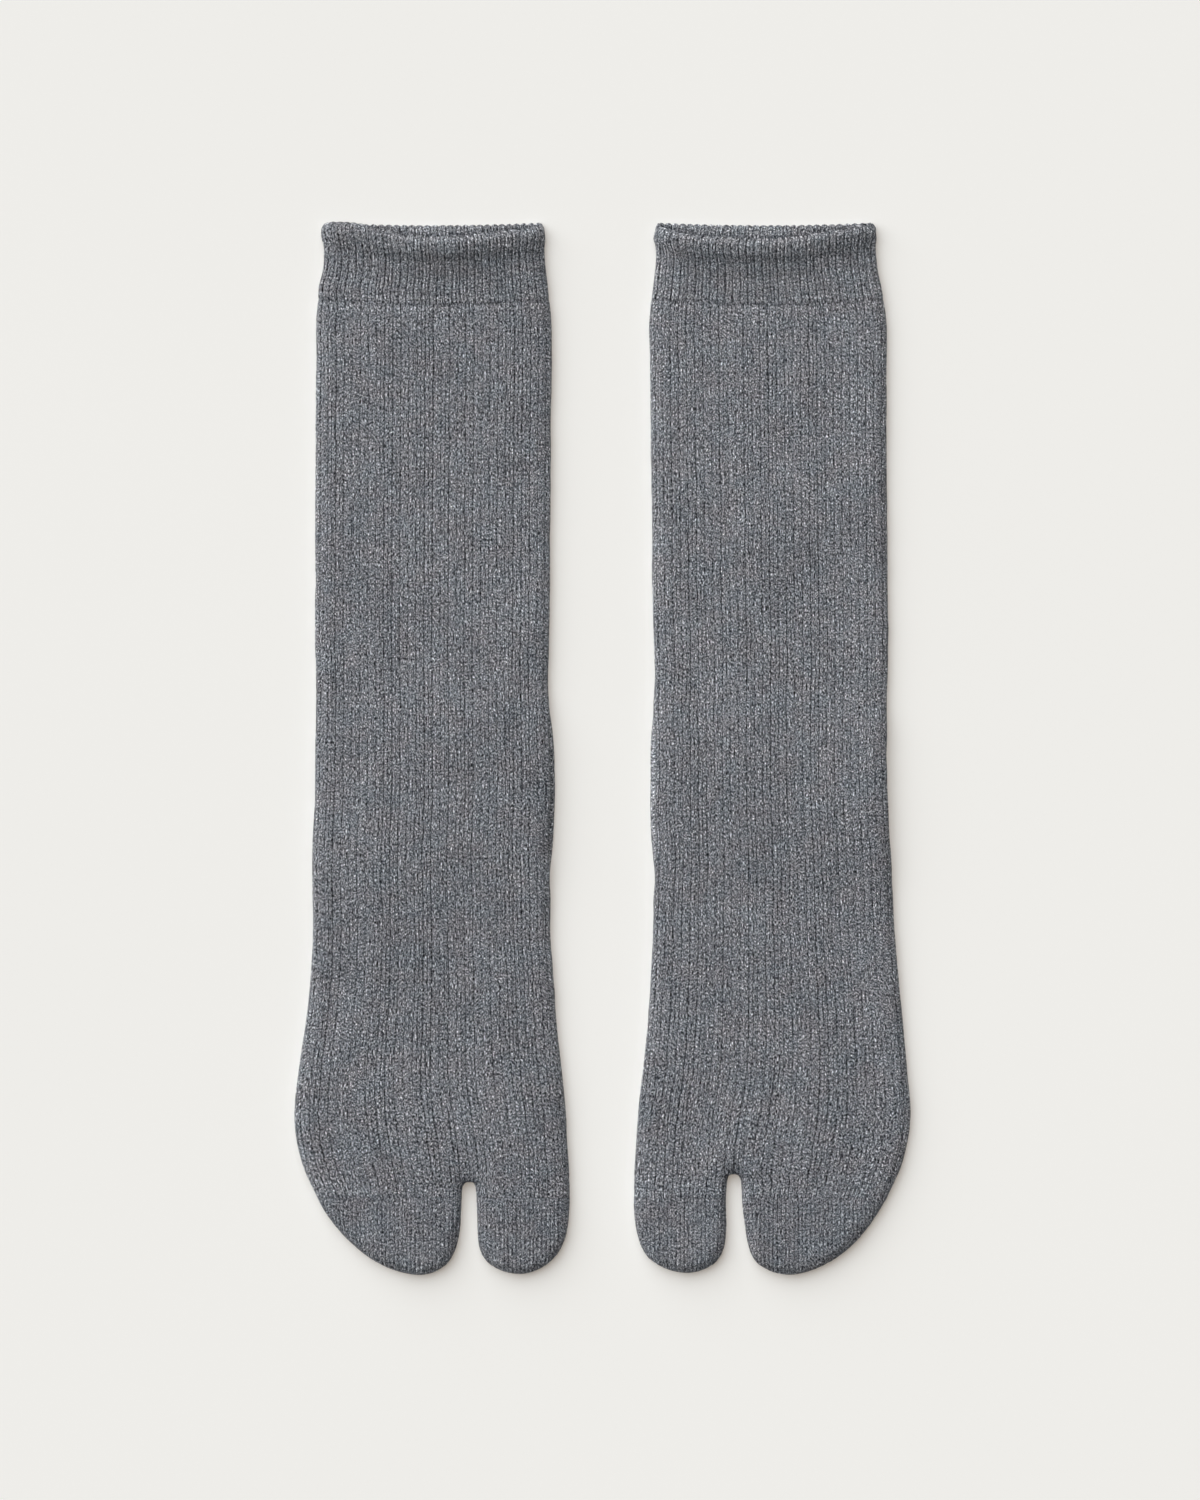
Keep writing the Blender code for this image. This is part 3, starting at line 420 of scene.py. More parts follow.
class StageSettings(bpy.types.PropertyGroup):
    """Floor, light and camera."""
    # cool, so that the floor with its warm painted glow is pale in full light
    floor_colour: FloatVectorProperty(
        name="Floor", description="Colour of the pale floor", subtype="COLOR", size=3,
        default=(0.760, 0.802, 0.823), min=0.0, max=1.0)
    # painted glow: the floor emits light, which lightens the shadows cast on it
    painted_glow: FloatProperty(
        name="Glow", description="How much the floor glows, as over a light table",
        default=0.256, min=0.0)
    sky: FloatProperty(
        name="Sky", description="Strength of the even light from all round", default=0.05, min=0.0)
    key: FloatProperty(
        name="Key", description="Strength of the soft light from the upper left",
        default=3.37, min=0.0)
    key_softness: FloatProperty(
        name="Key softness", description="Angular size of the key light", subtype="ANGLE",
        default=math.radians(88), min=0.0)
    lens: FloatProperty(
        name="Lens", description="Focal length of the overhead camera, in millimetres",
        default=250.0, min=10.0)
    floor_span: FloatProperty(
        name="Floor span", description="Side of the square floor", default=6.0, unit="LENGTH")


# ---- sections across a tube --------------------------------------------------------------------
def ease(share):
    """Smooth step from 0 to 1."""
    share = np.clip(share, 0.0, 1.0)
    return share * share * (3 - 2 * share)


def level_at(down):
    """Heights at a distance from the mouth, blended smoothly between the rows of LEVELS."""
    for before, after in zip(LEVELS, LEVELS[1:]):
        if down <= after.down:
            share = ease((down - before.down) / (after.down - before.down))
            return Level(*(low + (high - low) * share for low, high in zip(before, after)))
    return LEVELS[-1]


def curve_through(at, values, where):
    """Smooth curve through a table's points, read at a place."""
    at, values = np.asarray(at, float), np.asarray(values, float)
    slopes = np.gradient(values, at)
    index = int(np.clip(np.searchsorted(at, where) - 1, 0, len(at) - 2))
    step = at[index + 1] - at[index]
    t = float(np.clip((where - at[index]) / step, 0.0, 1.0))
    return ((1 + 2 * t) * (1 - t) ** 2 * values[index] + t * (1 - t) ** 2 * step * slopes[index]
            + t * t * (3 - 2 * t) * values[index + 1] + t * t * (t - 1) * step * slopes[index + 1])


def edges_at(sock, down):
    """The sock's side edges at a distance down."""
    downs = [row.down for row in sock.edges]
    outer, inner = (curve_through(downs, [getattr(row, side) for row in sock.edges], down)
                    for side in ("outer", "inner"))
    return Edges(down, outer, inner)


def across_share(x, a, b):
    """Place across, from -1 at the edge a to 1 at the edge b."""
    return (2 * x - a - b) / (b - a)


def tube_section(edges, cleft=0.0, crotch=None):
    """Section of the cuff, leg or foot, which may sink towards the crotch of the cleft."""
    level = level_at(edges.down)
    waist = WAIST_SHARE * level.top + HEEL_RAISE * level.layers
    dimple = 0.0
    if crotch is not None:
        share = ease(1 - (crotch - edges.down) / DIMPLE_REACH)
        dimple = (level.top + level.arch - CROTCH_HEIGHT) * share * share
    return Section(
        down=edges.down, a=edges.outer, b=edges.inner, top=level.top, arch=level.arch,
        dip=level.dip, floor=level.floor, layers=level.layers, waist=waist, fold_a=FOLD_DEPTH,
        fold_b=FOLD_DEPTH, low=0.0, cleft=cleft, dimple=dimple, wall_a=SIDE_WALL, wall_b=SIDE_WALL)


def cuff_section(sock, down):
    """Section of the cuff at a distance down."""
    return tube_section(edges_at(sock, down))


def leg_section(sock, down):
    """Section of the leg or foot at a distance down, above the crotch of the cleft."""
    return tube_section(edges_at(sock, down), sock.cleft[0].outer, sock.cleft[0].down)


def without_heel(section):
    """The section without the part of the folded heel that stands out at the inner edge."""
    return section._replace(b=section.b - HEEL_OUT * section.layers)


def round_share(distance, depth):
    """Height share of a quarter round, a distance in from its edge."""
    near = np.clip(distance / depth, 0.0, 1.0)
    return np.sqrt(1 - (1 - near) ** 2)


def panel_z(x, section):
    """Height of the upper panel at x."""
    across = across_share(x, section.a, section.b)
    crown = section.top + section.arch * (1 - across * across)
    crown = crown - section.dimple * np.exp(-((x - section.cleft) / DIMPLE_WIDTH) ** 2)
    rounding = round_share(x - section.a, section.fold_a)
    rounding = rounding * round_share(section.b - x, section.fold_b)
    return section.waist + (crown - section.waist) * rounding


def side_profile(section, edge, inward, steps):
    """Distances in and heights down a side, from its widest point to just above the surface."""
    turn = np.arange(steps) / steps * math.pi / 2
    x = edge + inward * REST_INSET * (1 - np.cos(turn))
    z = section.waist - (section.waist - section.low) * np.sin(turn)
    if section.layers > 0:
        out = HEEL_OUT if inward < 0 else 0.0
        stops = np.linspace(0.0, 1.0, len(HEEL_SIDE))
        ins = [out] + [inset for inset, _ in HEEL_SIDE[1:]]
        ins[1] += out
        heights = [section.waist] + [height for _, height in HEEL_SIDE[1:]]
        for index in range(steps):
            share = index / steps
            heel_x = edge + inward * curve_through(stops, ins, share)
            heel_z = curve_through(stops, heights, share)
            x[index] += (heel_x - x[index]) * section.layers
            z[index] += (heel_z - z[index]) * section.layers
    return x, z


def in_two(first, middle, last, counts):
    """Places spread evenly from first to middle and from there to last, which is left out."""
    return np.concatenate((np.linspace(first, middle, counts[0], endpoint=False),
                           np.linspace(middle, last, counts[1], endpoint=False)))


def walked(x, z):
    """Distance walked along a line of points."""
    return np.concatenate(([0.0], np.cumsum(np.hypot(np.diff(x), np.diff(z)))))


def outer_ring(section, columns, wales, pull=0.0):
    """Points round the outside at each column, from the outer fold over the top and back below.

    pull moves the line between the two parts of the top from its own place to the cleft's.
    """
    shape = without_heel(section)
    turn = np.linspace(0, math.pi, PROFILE_STEPS)
    fine_x = shape.a + (shape.b - shape.a) * (0.5 - 0.5 * np.cos(turn))
    fine_z = panel_z(fine_x, shape)
    run = walked(fine_x, fine_z)
    natural = run[-1] * wales[0] / sum(wales)
    split = natural + (np.interp(section.cleft, fine_x, run) - natural) * pull
    places = in_two(0.0, split, run[-1], columns.top)
    top_x, top_z = np.interp(places, run, fine_x), np.interp(places, run, fine_z)
    down_x, down_z = side_profile(section, section.b, -1, columns.side)
    up_x, up_z = side_profile(section, section.a, 1, columns.side)
    rest_b = section.b - REST_INSET + (REST_INSET - HEEL_SIDE[-1][0]) * section.layers
    rest_a = section.a + REST_INSET - (REST_INSET - HEEL_SIDE[-1][0]) * section.layers
    middle = np.interp(split, run, fine_x) if columns.under[1] else rest_b
    under_x = np.append(in_two(rest_b, middle, rest_a, columns.under[::-1]), rest_a)
    x = np.concatenate((top_x, down_x, under_x, up_x[:0:-1]))
    z = np.concatenate((top_z, down_z, np.full(len(under_x), section.low), up_z[:0:-1]))
    return np.column_stack((x, ring_y(x, shape, len(top_x)), z))


def hollow_z(x, section, a, b, floor):
    """Height of the hollow under the upper panel at x, between its ends a and b."""
    gap = np.maximum(panel_z(x, section) - WALL - floor, HOLLOW_MIN)
    near = np.minimum(round_share(x - a, FOLD_DEPTH), round_share(b - x, FOLD_DEPTH))
    return floor + gap * (HOLLOW_END_RISE + (1 - HOLLOW_END_RISE) * near)


def inner_ring(section, columns, pull=0.0):
    """Points round the inside at the same columns: a low hollow between the two panels."""
    a = section.a + section.wall_a
    b = section.b - section.wall_b - HEEL_OUT * section.layers
    floor = section.floor + section.low * HOLLOW_LIFT
    split = b
    if columns.top[1]:
        split = a + (b - a) * columns.top[0] / sum(columns.top)
        split += (section.cleft - split) * pull
    top_x = in_two(a, split, b, columns.top)
    under_x = np.append(in_two(b, split, a, columns.under[::-1]), a)
    shape = without_heel(section)
    fall = 1 - np.arange(columns.side) / columns.side
    ends = hollow_z(np.array((a, b)), shape, a, b, floor)
    up_z, down_z = (floor + (end - floor) * fall for end in ends)
    x = np.concatenate((top_x, np.full(columns.side, b), under_x, np.full(columns.side - 1, a)))
    z = np.concatenate((hollow_z(top_x, shape, a, b, floor), down_z,
                        np.full(len(under_x), floor), up_z[:0:-1]))
    return np.column_stack((x, ring_y(x, shape, len(top_x)), z))


def ring_y(x, section, on_top):
    """Row-frame y of a ring's points: the upper panel's line sags at its centre."""
    across = across_share(x, section.a, section.b)
    sag = section.dip * (1 - across * across)
    back_fade = ease(1 - section.down / BACK_SAG_REACH)
    sag[on_top:] = BACK_SAG * (1 - across * across)[on_top:] * back_fade
    from_side = np.minimum(x - section.a, section.b - x)
    corner_fade = ease(1 - section.down / CORNER_REACH)
    corner = CORNER_ROUND * (1 - round_share(from_side, CORNER_ROUND)) * corner_fade
    return MOUTH_Y - section.down - sag - corner


def ring_wales(columns, wales):
    """Wale number at each column and at the first column come round again."""
    across = sum(wales)
    count = sum(columns.top)
    under = sum(columns.under)
    stops = (0, columns.top[0], count, count + columns.side, count + columns.side + under,
             count + 2 * columns.side + under)
    numbers = (0, wales[0], across, across + SIDE_WALES, 2 * across - SIDE_WALES, 2 * across)
    return np.interp(np.arange(stops[-1] + 1), stops, numbers)


# ---- relief and shade --------------------------------------------------------------------------
def soft_noise(seed, size, spacing):
    """Smooth random field of a size in steps, from -1 to 1, with features of a spacing."""
    rng = np.random.default_rng(seed)
    rows, cols = (int(math.ceil(length / step)) + 3 for length, step in zip(size, spacing))
    field = rng.uniform(-1.0, 1.0, (rows, cols))
    for axis, shape in enumerate(((-1, 1), (1, -1))):
        places = np.arange(size[axis]) / spacing[axis]
        low = places.astype(int)
        share = ease(places - low).reshape(shape)
        field = np.take(field, low, axis) * (1 - share) + np.take(field, low + 1, axis) * share
    return field


def between_ribs(wale, sharpness):
    """1 in the grooves between ribs, falling to 0 in the middle of each rib."""
    return (0.5 + 0.5 * np.cos(math.pi * wale)) ** sharpness


def knit_relief(wale, course, sizes, seed, ribbed=1.0):
    """Height of ribs and stitches in millimetres over a grid of wale and course numbers.

    Crests lie on the form and grooves are sunk below it. ribbed fades the ribs into plain knit.
    """
    size = np.broadcast_shapes(wale.shape, course.shape)
    uneven_rib = 1 + RIB_UNEVEN.share * soft_noise(seed, size, RIB_UNEVEN.spacing)
    uneven_wale = 1 + WALE_UNEVEN.share * soft_noise(seed + 1, size, WALE_UNEVEN.spacing)
    deep = between_ribs(wale, GROOVE_SHARPNESS)
    shallow = (0.5 - 0.5 * np.cos(math.pi * wale)) ** GROOVE_SHARPNESS
    off_middle = np.abs(wale - np.floor(wale) - 0.5) * 2
    stitch = np.cos(2 * math.pi * (course + sizes.slant * off_middle))
    relief = -sizes.rib_depth / MM * deep * uneven_rib * ribbed
    relief = relief - sizes.wale_depth / MM * (shallow + deep * (1 - ribbed)) * uneven_wale
    return relief + sizes.stitch_depth / MM * (stitch - 1)


def crease_relief(x, down, creases):
    """Soft troughs and swellings of the upper panel, in millimetres."""
    relief = np.zeros(np.broadcast_shapes(x.shape, down.shape))
    for crease in creases:
        angle = math.radians(crease.angle)
        along = (down - crease.down) * math.cos(angle) + (x - crease.x) * math.sin(angle)
        across = (x - crease.x) * math.cos(angle) - (down - crease.down) * math.sin(angle)
        bent = across + CREASE_BEND * along * along / crease.length
        relief += crease.height * np.exp(-(along / crease.length) ** 2 - (bent / crease.width) ** 2)
    return relief


def swell(grid, sock, mask, sizes, seed):
    """Height of the creases and small swellings of the cloth over a grid of outer points."""
    small = sum(share * soft_noise(seed + step, grid.shape[:2], spacing)
                for step, (share, spacing) in zip(SWELL_SEEDS, SWELLS))
    down = MOUTH_Y - grid[:, :, 1]
    creases = crease_relief(grid[:, :, 0], down, sock.creases)
    return mask * (creases + sizes.unevenness / MM * small)


def outward(grid):
    """Unit normals of a grid of rings, pointing out."""
    across = np.roll(grid, -1, 1) - np.roll(grid, 1, 1)
    along = np.gradient(grid, axis=0)
    normals = np.cross(along, across)
    return normals / np.maximum(np.linalg.norm(normals, axis=2, keepdims=True), 1e-9)


def raised(grid, relief):
    """A grid of rings moved out by its relief."""
    return grid + outward(grid) * relief[:, :, None]


def bell(down, ridge):
    """Height of a ridge or trough that runs all round the tube."""
    return ridge.height * np.exp(-((down - ridge.down) / ridge.width) ** 2)


def off_surface(z, rise=RELIEF_RISE):
    """0 where a point rests on the surface and 1 where it is clear of it."""
    return ease((z - rise[0]) / (rise[1] - rise[0]))


def ribs_left(downs):
    """Share of the ribs that is left towards the toe line, where the knit turns plain."""
    return np.clip((TOE_LINE - downs) / RIB_FADE, 0.0, 1.0)[:, None]


def seam_pull(distances):
    """How strongly the cuff seam holds the cloth, at distances from it."""
    return ease(1 - distances / SEAM_REACH)[:, None]


def seam_dip(sizes, pull, z):
    """How far the cuff seam draws the cloth in."""
    return sizes.seam_dip / MM * pull ** 2 * off_surface(z, SEAM_RISE)


def toe_line_relief(relief, near, sizes, fade=1.0):
    """Relief that dies away at the toe line, where the cloth is drawn in a little."""
    return relief * near * fade - sizes.seam_dip / MM * TOE_LINE_DIP * (1 - near)


def seam_shade(distances, wale):
    """Darker line at a seam, with painted shade that makes it darkest between the ribs, and a
    lighter ridge beside it.
    """
    grooves = SEAM_GROOVES_PAINTED_SHADE * between_ribs(wale[None, :-1], 2)
    dark = bell(distances, SEAM_LINE)[:, None] * (SEAM_DARKER + grooves)
    return bell(distances, SEAM_RIDGE)[:, None] - dark


def foot_shade(down):
    """The wool is a little darker towards the toes."""
    return 1 - FOOT_DARKER * ease((down - FOOT_DARKENS.start) / FOOT_DARKENS.length)


def fold_painted_sheen(grid, lighter):
    """Painted sheen: how much lighter the wool is made on the steep part of the side folds and
    tips.
    """
    height = grid[:, :, 2] / FOOT_TOP
    steep = ease((FOLD_STEEP[1] - height) / (FOLD_STEEP[1] - FOLD_STEEP[0]))
    return lighter * steep * ease(height / FOLD_FOOT)


def crotch_painted_shade(sock, grid):
    """Painted shade: how much darker the wool is made in the dimple at the crotch of the cleft."""
    x, y = sock.cleft[0].outer - CROTCH_SPOT_ASIDE, MOUTH_Y - sock.cleft[0].down
    reach = np.hypot((grid[:, :, 0] - x) / CROTCH_SPOT[0], (grid[:, :, 1] - y) / CROTCH_SPOT[1])
    return CROTCH_PAINTED_SHADE * np.exp(-reach ** 2)


def inside_shade(sock, inner):
    """The inside of the cuff is lighter, partly its own tone and partly painted light, and painted
    shade darkens it where the front panel's rim covers it.
    """
    edges = edges_at(sock, 0.0)
    across = across_share(inner[:, :, 0], edges.outer, edges.inner)
    rim_line = MOUTH_Y - rim_sag(sock, across)
    covered = ease((rim_line - inner[:, :, 1] + RIM_COVER.start) / RIM_COVER.length)
    return INSIDE_TONE_AND_PAINTED_LIGHT - INSIDE_PAINTED_SHADE * covered


# ---- meshes ------------------------------------------------------------------------------------
class Cloth:
    """Gathers grids of points into one mesh, with knit coordinates and a map for each grid."""

    def __init__(self, sock):
        self.sock = sock
        self.points = []
        self.count = 0
        self.shades = []
        self.faces = []
        self.knit = []
        self.chart = []

    def add(self, grid, shade=1.0):
        """Adds points and returns their numbers in the same layout.

        shade makes the wool lighter or darker: painted light and shade, and the wool's own tone.
        """
        grid = np.asarray(grid, float)
        flat = grid.reshape(-1, 3)
        self.shades.append(np.broadcast_to(shade, grid.shape[:-1]).reshape(-1))
        numbers = np.arange(self.count, self.count + len(flat)).reshape(grid.shape[:-1])
        self.points.append(flat)
        self.count += len(flat)
        return numbers

    def skin(self, numbers, wale, course, chart):
        """Quads between a grid's rings. chart is the part of the unit square it takes."""
        rows, cols = numbers.shape
        size = (rows, cols + 1)
        wrapped = np.concatenate((numbers, numbers[:, :1]), 1)
        u = np.broadcast_to(wale + KNIT_SHIFT[0] * self.sock.seed, size)
        v = np.broadcast_to(course + KNIT_SHIFT[1] * self.sock.seed, size)
        left, low, right, high = chart
        map_x = np.broadcast_to(np.linspace(left, right, cols + 1), size)
        map_y = np.broadcast_to(np.linspace(high, low, rows)[:, None], size)
        corners = ((BEFORE, BEFORE), (AFTER, BEFORE), (AFTER, AFTER), (BEFORE, AFTER))
        if self.sock.side < 0:
            corners = corners[::-1]
        self.faces.append(np.stack([wrapped[corner] for corner in corners], -1).reshape(-1, 4))
        for kept, values in ((self.knit, (u, v)), (self.chart, (map_x, map_y))):
            pair = np.stack(values, -1)
            kept.append(np.stack([pair[corner] for corner in corners], -2).reshape(-1, 2))

    def cap(self, ring, middle, knit, spot, last):
        """Fan that closes a ring at its middle point. last is true at the grid's last ring."""
        after = np.roll(ring, -1)
        centre = np.full(len(ring), middle)
        turn = last == (self.sock.side > 0)
        order = (ring, centre, after) if turn else (ring, after, centre)
        self.faces.append(np.stack(order, -1))
        for kept, value in ((self.knit, knit), (self.chart, spot)):
            kept.append(np.tile(np.array(value, float), (3 * len(ring), 1)))

    def make(self, name, material, slot):
        """The finished piece, riding on the root body in place of its solid."""
        points = np.concatenate(self.points)
        points = points * (self.sock.side, 1, 1) + (self.sock.centre_x, 0, 0)
        faces = [face for block in self.faces for face in block.tolist()]
        mesh = bpy.data.meshes.new(name + "_knit")
        mesh.from_pydata((points * MM).tolist(), [], faces)
        for title, blocks in (("OFBake", self.chart), ("Knit", self.knit)):
            layer = mesh.uv_layers.new(name=title)
            layer.data.foreach_set("uv", np.concatenate(blocks).astype(np.float32).ravel())
        # Shade carries painted light and shade, and the wool's own tone
        shade = mesh.attributes.new("Shade", "FLOAT", "POINT")
        shade.data.foreach_set("value", np.concatenate(self.shades).astype(np.float32))
        mesh.uv_layers.active = mesh.uv_layers["OFBake"]
        mesh.uv_layers["OFBake"].active_render = True
        mesh.materials.append(material)
        mesh.shade_smooth()
        mesh.validate()
        piece = bpy.data.objects.new(name + "_knit", mesh)
        bpy.context.scene.collection.objects.link(piece)
        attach(piece, "root")
        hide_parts(name)
        return piece


# ---- pieces ------------------------------------------------------------------------------------
def rim_sag(sock, across):
    """Sag of the front panel's rim at shares across."""
    places = np.linspace(-1.0, 1.0, PROFILE_STEPS)
    known, sags = zip(*sock.rim)
    return np.interp(across, places, [curve_through(known, sags, place) for place in places])


def bow_rim(sock, grid, downs):
    """Moves the front panel's courses near the mouth from an even sag to the rim's own line."""
    on_top = sum(CUFF_COLUMNS.top)
    for ring, down in zip(grid, downs):
        edges = edges_at(sock, down)
        across = across_share(ring[:on_top, 0], edges.outer, edges.inner)
        even = level_at(down).dip * (1 - across * across)
        fade = ease(1 - (down - RIM_BOW.start) / RIM_BOW.length)
        ring[:on_top, 1] += (even - rim_sag(sock, across)) * fade


def knit_cuff(sock, sizes):
    """Ribbed band with a soft rolled edge, scalloped by its ribs, open at both ends."""
    columns = CUFF_COLUMNS
    course = sizes.course / MM
    rim = WALL / 2
    wale = ring_wales(columns, CUFF_WALES)
    downs, inner_downs = (np.append(np.arange(rim, CUFF_SEAM, course / rows), CUFF_SEAM)
                          for rows in CUFF_ROWS)
    outer = np.stack([outer_ring(cuff_section(sock, down), columns, CUFF_WALES) for down in downs])
    inner = np.stack([inner_ring(cuff_section(sock, down), columns) for down in inner_downs])
    bow_rim(sock, outer, downs)
    bow_rim(sock, inner, inner_downs)

    height = outer[:, :, 2]
    pull = seam_pull(CUFF_SEAM - downs)
    clear = off_surface(height)
    rounded = off_surface(height, ROLL_RISE)
    roll = (bell(downs, ROLL) + bell(downs, TROUGH))[:, None] * rounded
    lip = bell(downs, LIP)[:, None] * rounded
    relief = knit_relief(wale[None, :-1], downs[:, None] / course, sizes, sock.seed)
    relief *= 1 - SEAM_FLATTENS * pull
    relief += swell(outer, sock, clear, sizes, sock.seed) * CUFF_SWELL + roll + lip
    relief -= seam_dip(sizes, pull, height)
    # what lies on the surface may be sunk but not raised
    relief = np.where(height < RELIEF_RISE[0], np.minimum(relief, 0.0), relief)
    shaped = raised(outer, relief)
    in_relief = knit_relief(wale[None, :-1] + 1, inner_downs[:, None] / course, sizes,
                            sock.seed + INSIDE_SEED) * INSIDE_RELIEF
    shaped_in = raised(inner, -in_relief)
    # painted highlight on the roll and the lip, painted shade in the trough, and the seam's dark
    # line
    shade = 1 + ROLL_PAINTED_LIGHT * roll + (RIM_PAINTED_HIGHLIGHT - 1) / LIP.height * lip
    shade = shade + seam_shade(CUFF_SEAM - downs, wale)

    middle, arm = (shaped[0] + shaped_in[0]) / 2, (shaped[0] - shaped_in[0]) / 2
    stand = np.zeros_like(middle)
    stand[:, 1] = rim - sizes.scallop / MM * between_ribs(wale[:-1], 2)
    turns = np.linspace(0, math.pi, RIM_ROWS + 2)[1:-1]
    rim_rows = np.stack([middle - arm * math.cos(turn) + stand * math.sin(turn) for turn in turns])

    cloth = Cloth(sock)
    numbers = np.concatenate((cloth.add(shaped_in[::-1], inside_shade(sock, inner)[::-1]),
                              cloth.add(rim_rows, RIM_PAINTED_HIGHLIGHT),
                              cloth.add(shaped, shade)))
    numbers = np.concatenate((numbers, numbers[:1]))
    turned = np.linspace(rim, -rim, RIM_ROWS + 2)[1:-1] * 0.5 - rim / 2
    walk = np.concatenate((-inner_downs[::-1], turned, downs, [CUFF_SEAM + HEM_WALK]))
    cloth.skin(numbers, wale, walk[:, None] / course, WHOLE_CHART)
    return cloth


def knit_leg_and_foot(sock, sizes):
    """Ribbed tube from the cuff seam to the toe line, with the folded heel and the fork."""
    columns = LEG_COLUMNS
    course = sizes.course / MM
    crotch = sock.cleft[0].down
    wale = ring_wales(columns, LEG_WALES)
    steps = int(round((crotch - CUFF_SEAM) / course * LEG_ROWS))
    downs = np.linspace(CUFF_SEAM, crotch, steps + 1)
    inner_downs = np.linspace(CUFF_SEAM, crotch - INNER_CROTCH_ABOVE, INNER_ROWS)
    pulls, inner_pulls = (ease(1 - (crotch - places) / CLEFT_LEAD)
                          for places in (downs, inner_downs))
    outer = np.stack([outer_ring(leg_section(sock, down), columns, LEG_WALES, pull)
                      for down, pull in zip(downs, pulls)])
    inner = np.stack([inner_ring(leg_section(sock, down), columns, pull)
                      for down, pull in zip(inner_downs, inner_pulls)])

    height = outer[:, :, 2]
    clear = off_surface(height)
    pull = seam_pull(downs - CUFF_SEAM)
    seed = sock.seed + LEG_SEED
    rows = np.arange(len(downs))[:, None] / LEG_ROWS
    relief = knit_relief(wale[None, :-1], rows, sizes, seed, ribs_left(downs))
    relief *= clear * (1 - SEAM_FLATTENS * pull)
    relief += swell(outer, sock, clear, sizes, seed)
    relief -= seam_dip(sizes, pull, height)
    shaped = raised(outer, relief)
    # the foot's tone and the seam's line, with painted shade at the crotch and painted sheen on the
    # folds
    shade = foot_shade(downs)[:, None] + seam_shade(downs - CUFF_SEAM, wale)
    shade = shade - crotch_painted_shade(sock, outer) + fold_painted_sheen(outer, SIDE_PAINTED_SHEEN)

    cloth = Cloth(sock)
    out_numbers = cloth.add(shaped, shade)
    in_numbers = cloth.add(inner)
    hem = np.stack((in_numbers[0], out_numbers[0]))
    cloth.skin(out_numbers, wale, downs[:, None] / course, LEG_CHART)
    cloth.skin(in_numbers[::-1], wale, -inner_downs[::-1, None] / course, LEG_INSIDE_CHART)
    cloth.skin(hem, wale, CUFF_SEAM / course, LEG_HEM_CHART)
    add_fork(cloth, sock, sizes, (out_numbers[-1], shaped[-1]), (in_numbers[-1], inner[-1]), wale)
    return cloth


def fork_section(sock, down, branch):
    """Section of the foot on one side of the cleft, 0 for the four toes and 1 for the big toe."""
    edges = edges_at(sock, down)
    crotch = sock.cleft[0].down
    reach = [math.sqrt(row.down - crotch) for row in sock.cleft]
    side = ("outer", "inner")[branch]
    x = [getattr(row, side) for row in sock.cleft]
    cleft = curve_through(reach, x, math.sqrt(down - crotch))
    if branch == 0:
        return tube_section(Edges(down, edges.outer, cleft))._replace(fold_b=FORK_FOLD_DEPTH)
    return tube_section(Edges(down, cleft, edges.inner))._replace(fold_a=FORK_FOLD_DEPTH)


def half_ring(ring, wall, split, under, branch):
    """A ring's half on one side of the cleft, closed by the wall that goes down between them."""
    if branch == 0:
        return np.concatenate((ring[:split + 1], wall, ring[under:]))
    return np.concatenate((ring[split:under + 1], wall[::-1]))


def half_wales(wale, steps, split, under, branch):
    """Wale numbers round one half, which run on along the wall."""
    if branch == 0:
        wall = wale[split] + np.arange(1, steps) / 2
        return np.concatenate((wale[:split + 1], wall, wale[under:]))
    return np.concatenate((wale[split:under + 1], wale[under] + np.arange(1, steps + 1) / 2))


def add_fork(cloth, sock, sizes, out_last, in_last, wale):
    """Carries the halves of the foot's last rings on to the toe line, either side of the cleft.

    out_last and in_last hold the numbers and the points of the last ring outside and inside.
    """
    columns = LEG_COLUMNS
    course = sizes.course / MM
    crotch = sock.cleft[0].down
    steps = columns.side
    split = columns.top[0]
    under = sum(columns.top) + columns.side + columns.under[1]
    falls = np.arange(1, steps)[:, None] / steps
    walls = [cloth.add(points[split] + (points[under] - points[split]) * falls)
             for _, points in (out_last, in_last)]
    reaches = np.linspace(0, math.sqrt(TOE_LINE - crotch), FORK_ROWS + 1)[1:]
    downs = np.insert(crotch + reaches ** 2, FORK_ROWS - 1, TOE_LINE - TOE_LINE_HEM)
    near = ease((TOE_LINE - downs) / TOE_LINE_REACH)[:, None]
    walk = np.concatenate(([crotch], downs, downs[::-1], [crotch])) / course
    for branch in (0, 1):
        own = Columns((columns.top[branch], 0), steps, (columns.under[branch], 0))
        own_wale = half_wales(wale, steps, split, under, branch)
        sections = [fork_section(sock, down, branch) for down in downs]
        outer = np.stack([outer_ring(section, own, (1, 0)) for section in sections])
        inner = np.stack([inner_ring(section, own) for section in sections])
        relief = knit_relief(own_wale[None, :-1], downs[:, None] / course, sizes,
                             sock.seed + FORK_SEED, ribs_left(downs))
        relief = off_surface(outer[:, :, 2]) * toe_line_relief(relief, near, sizes)
        # painted shade at the crotch and painted sheen on the folds, with the toe line's dark line
        shade = foot_shade(TOE_LINE) - crotch_painted_shade(sock, outer) + fold_painted_sheen(outer, TOE_PAINTED_SHEEN)
        shade += TOE_LINE_SHADE * seam_shade(TOE_LINE - downs, own_wale)
        firsts = [half_ring(ring, wall, split, under, branch)[None]
                  for (ring, _), wall in zip((out_last, in_last), walls)]
        out_numbers = np.concatenate((firsts[0], cloth.add(raised(outer, relief), shade)))
        in_numbers = np.concatenate((firsts[1], cloth.add(inner)))
        numbers = np.concatenate((out_numbers, in_numbers[::-1]))
        cloth.skin(numbers, own_wale, walk[:, None], FORK_CHARTS[branch])


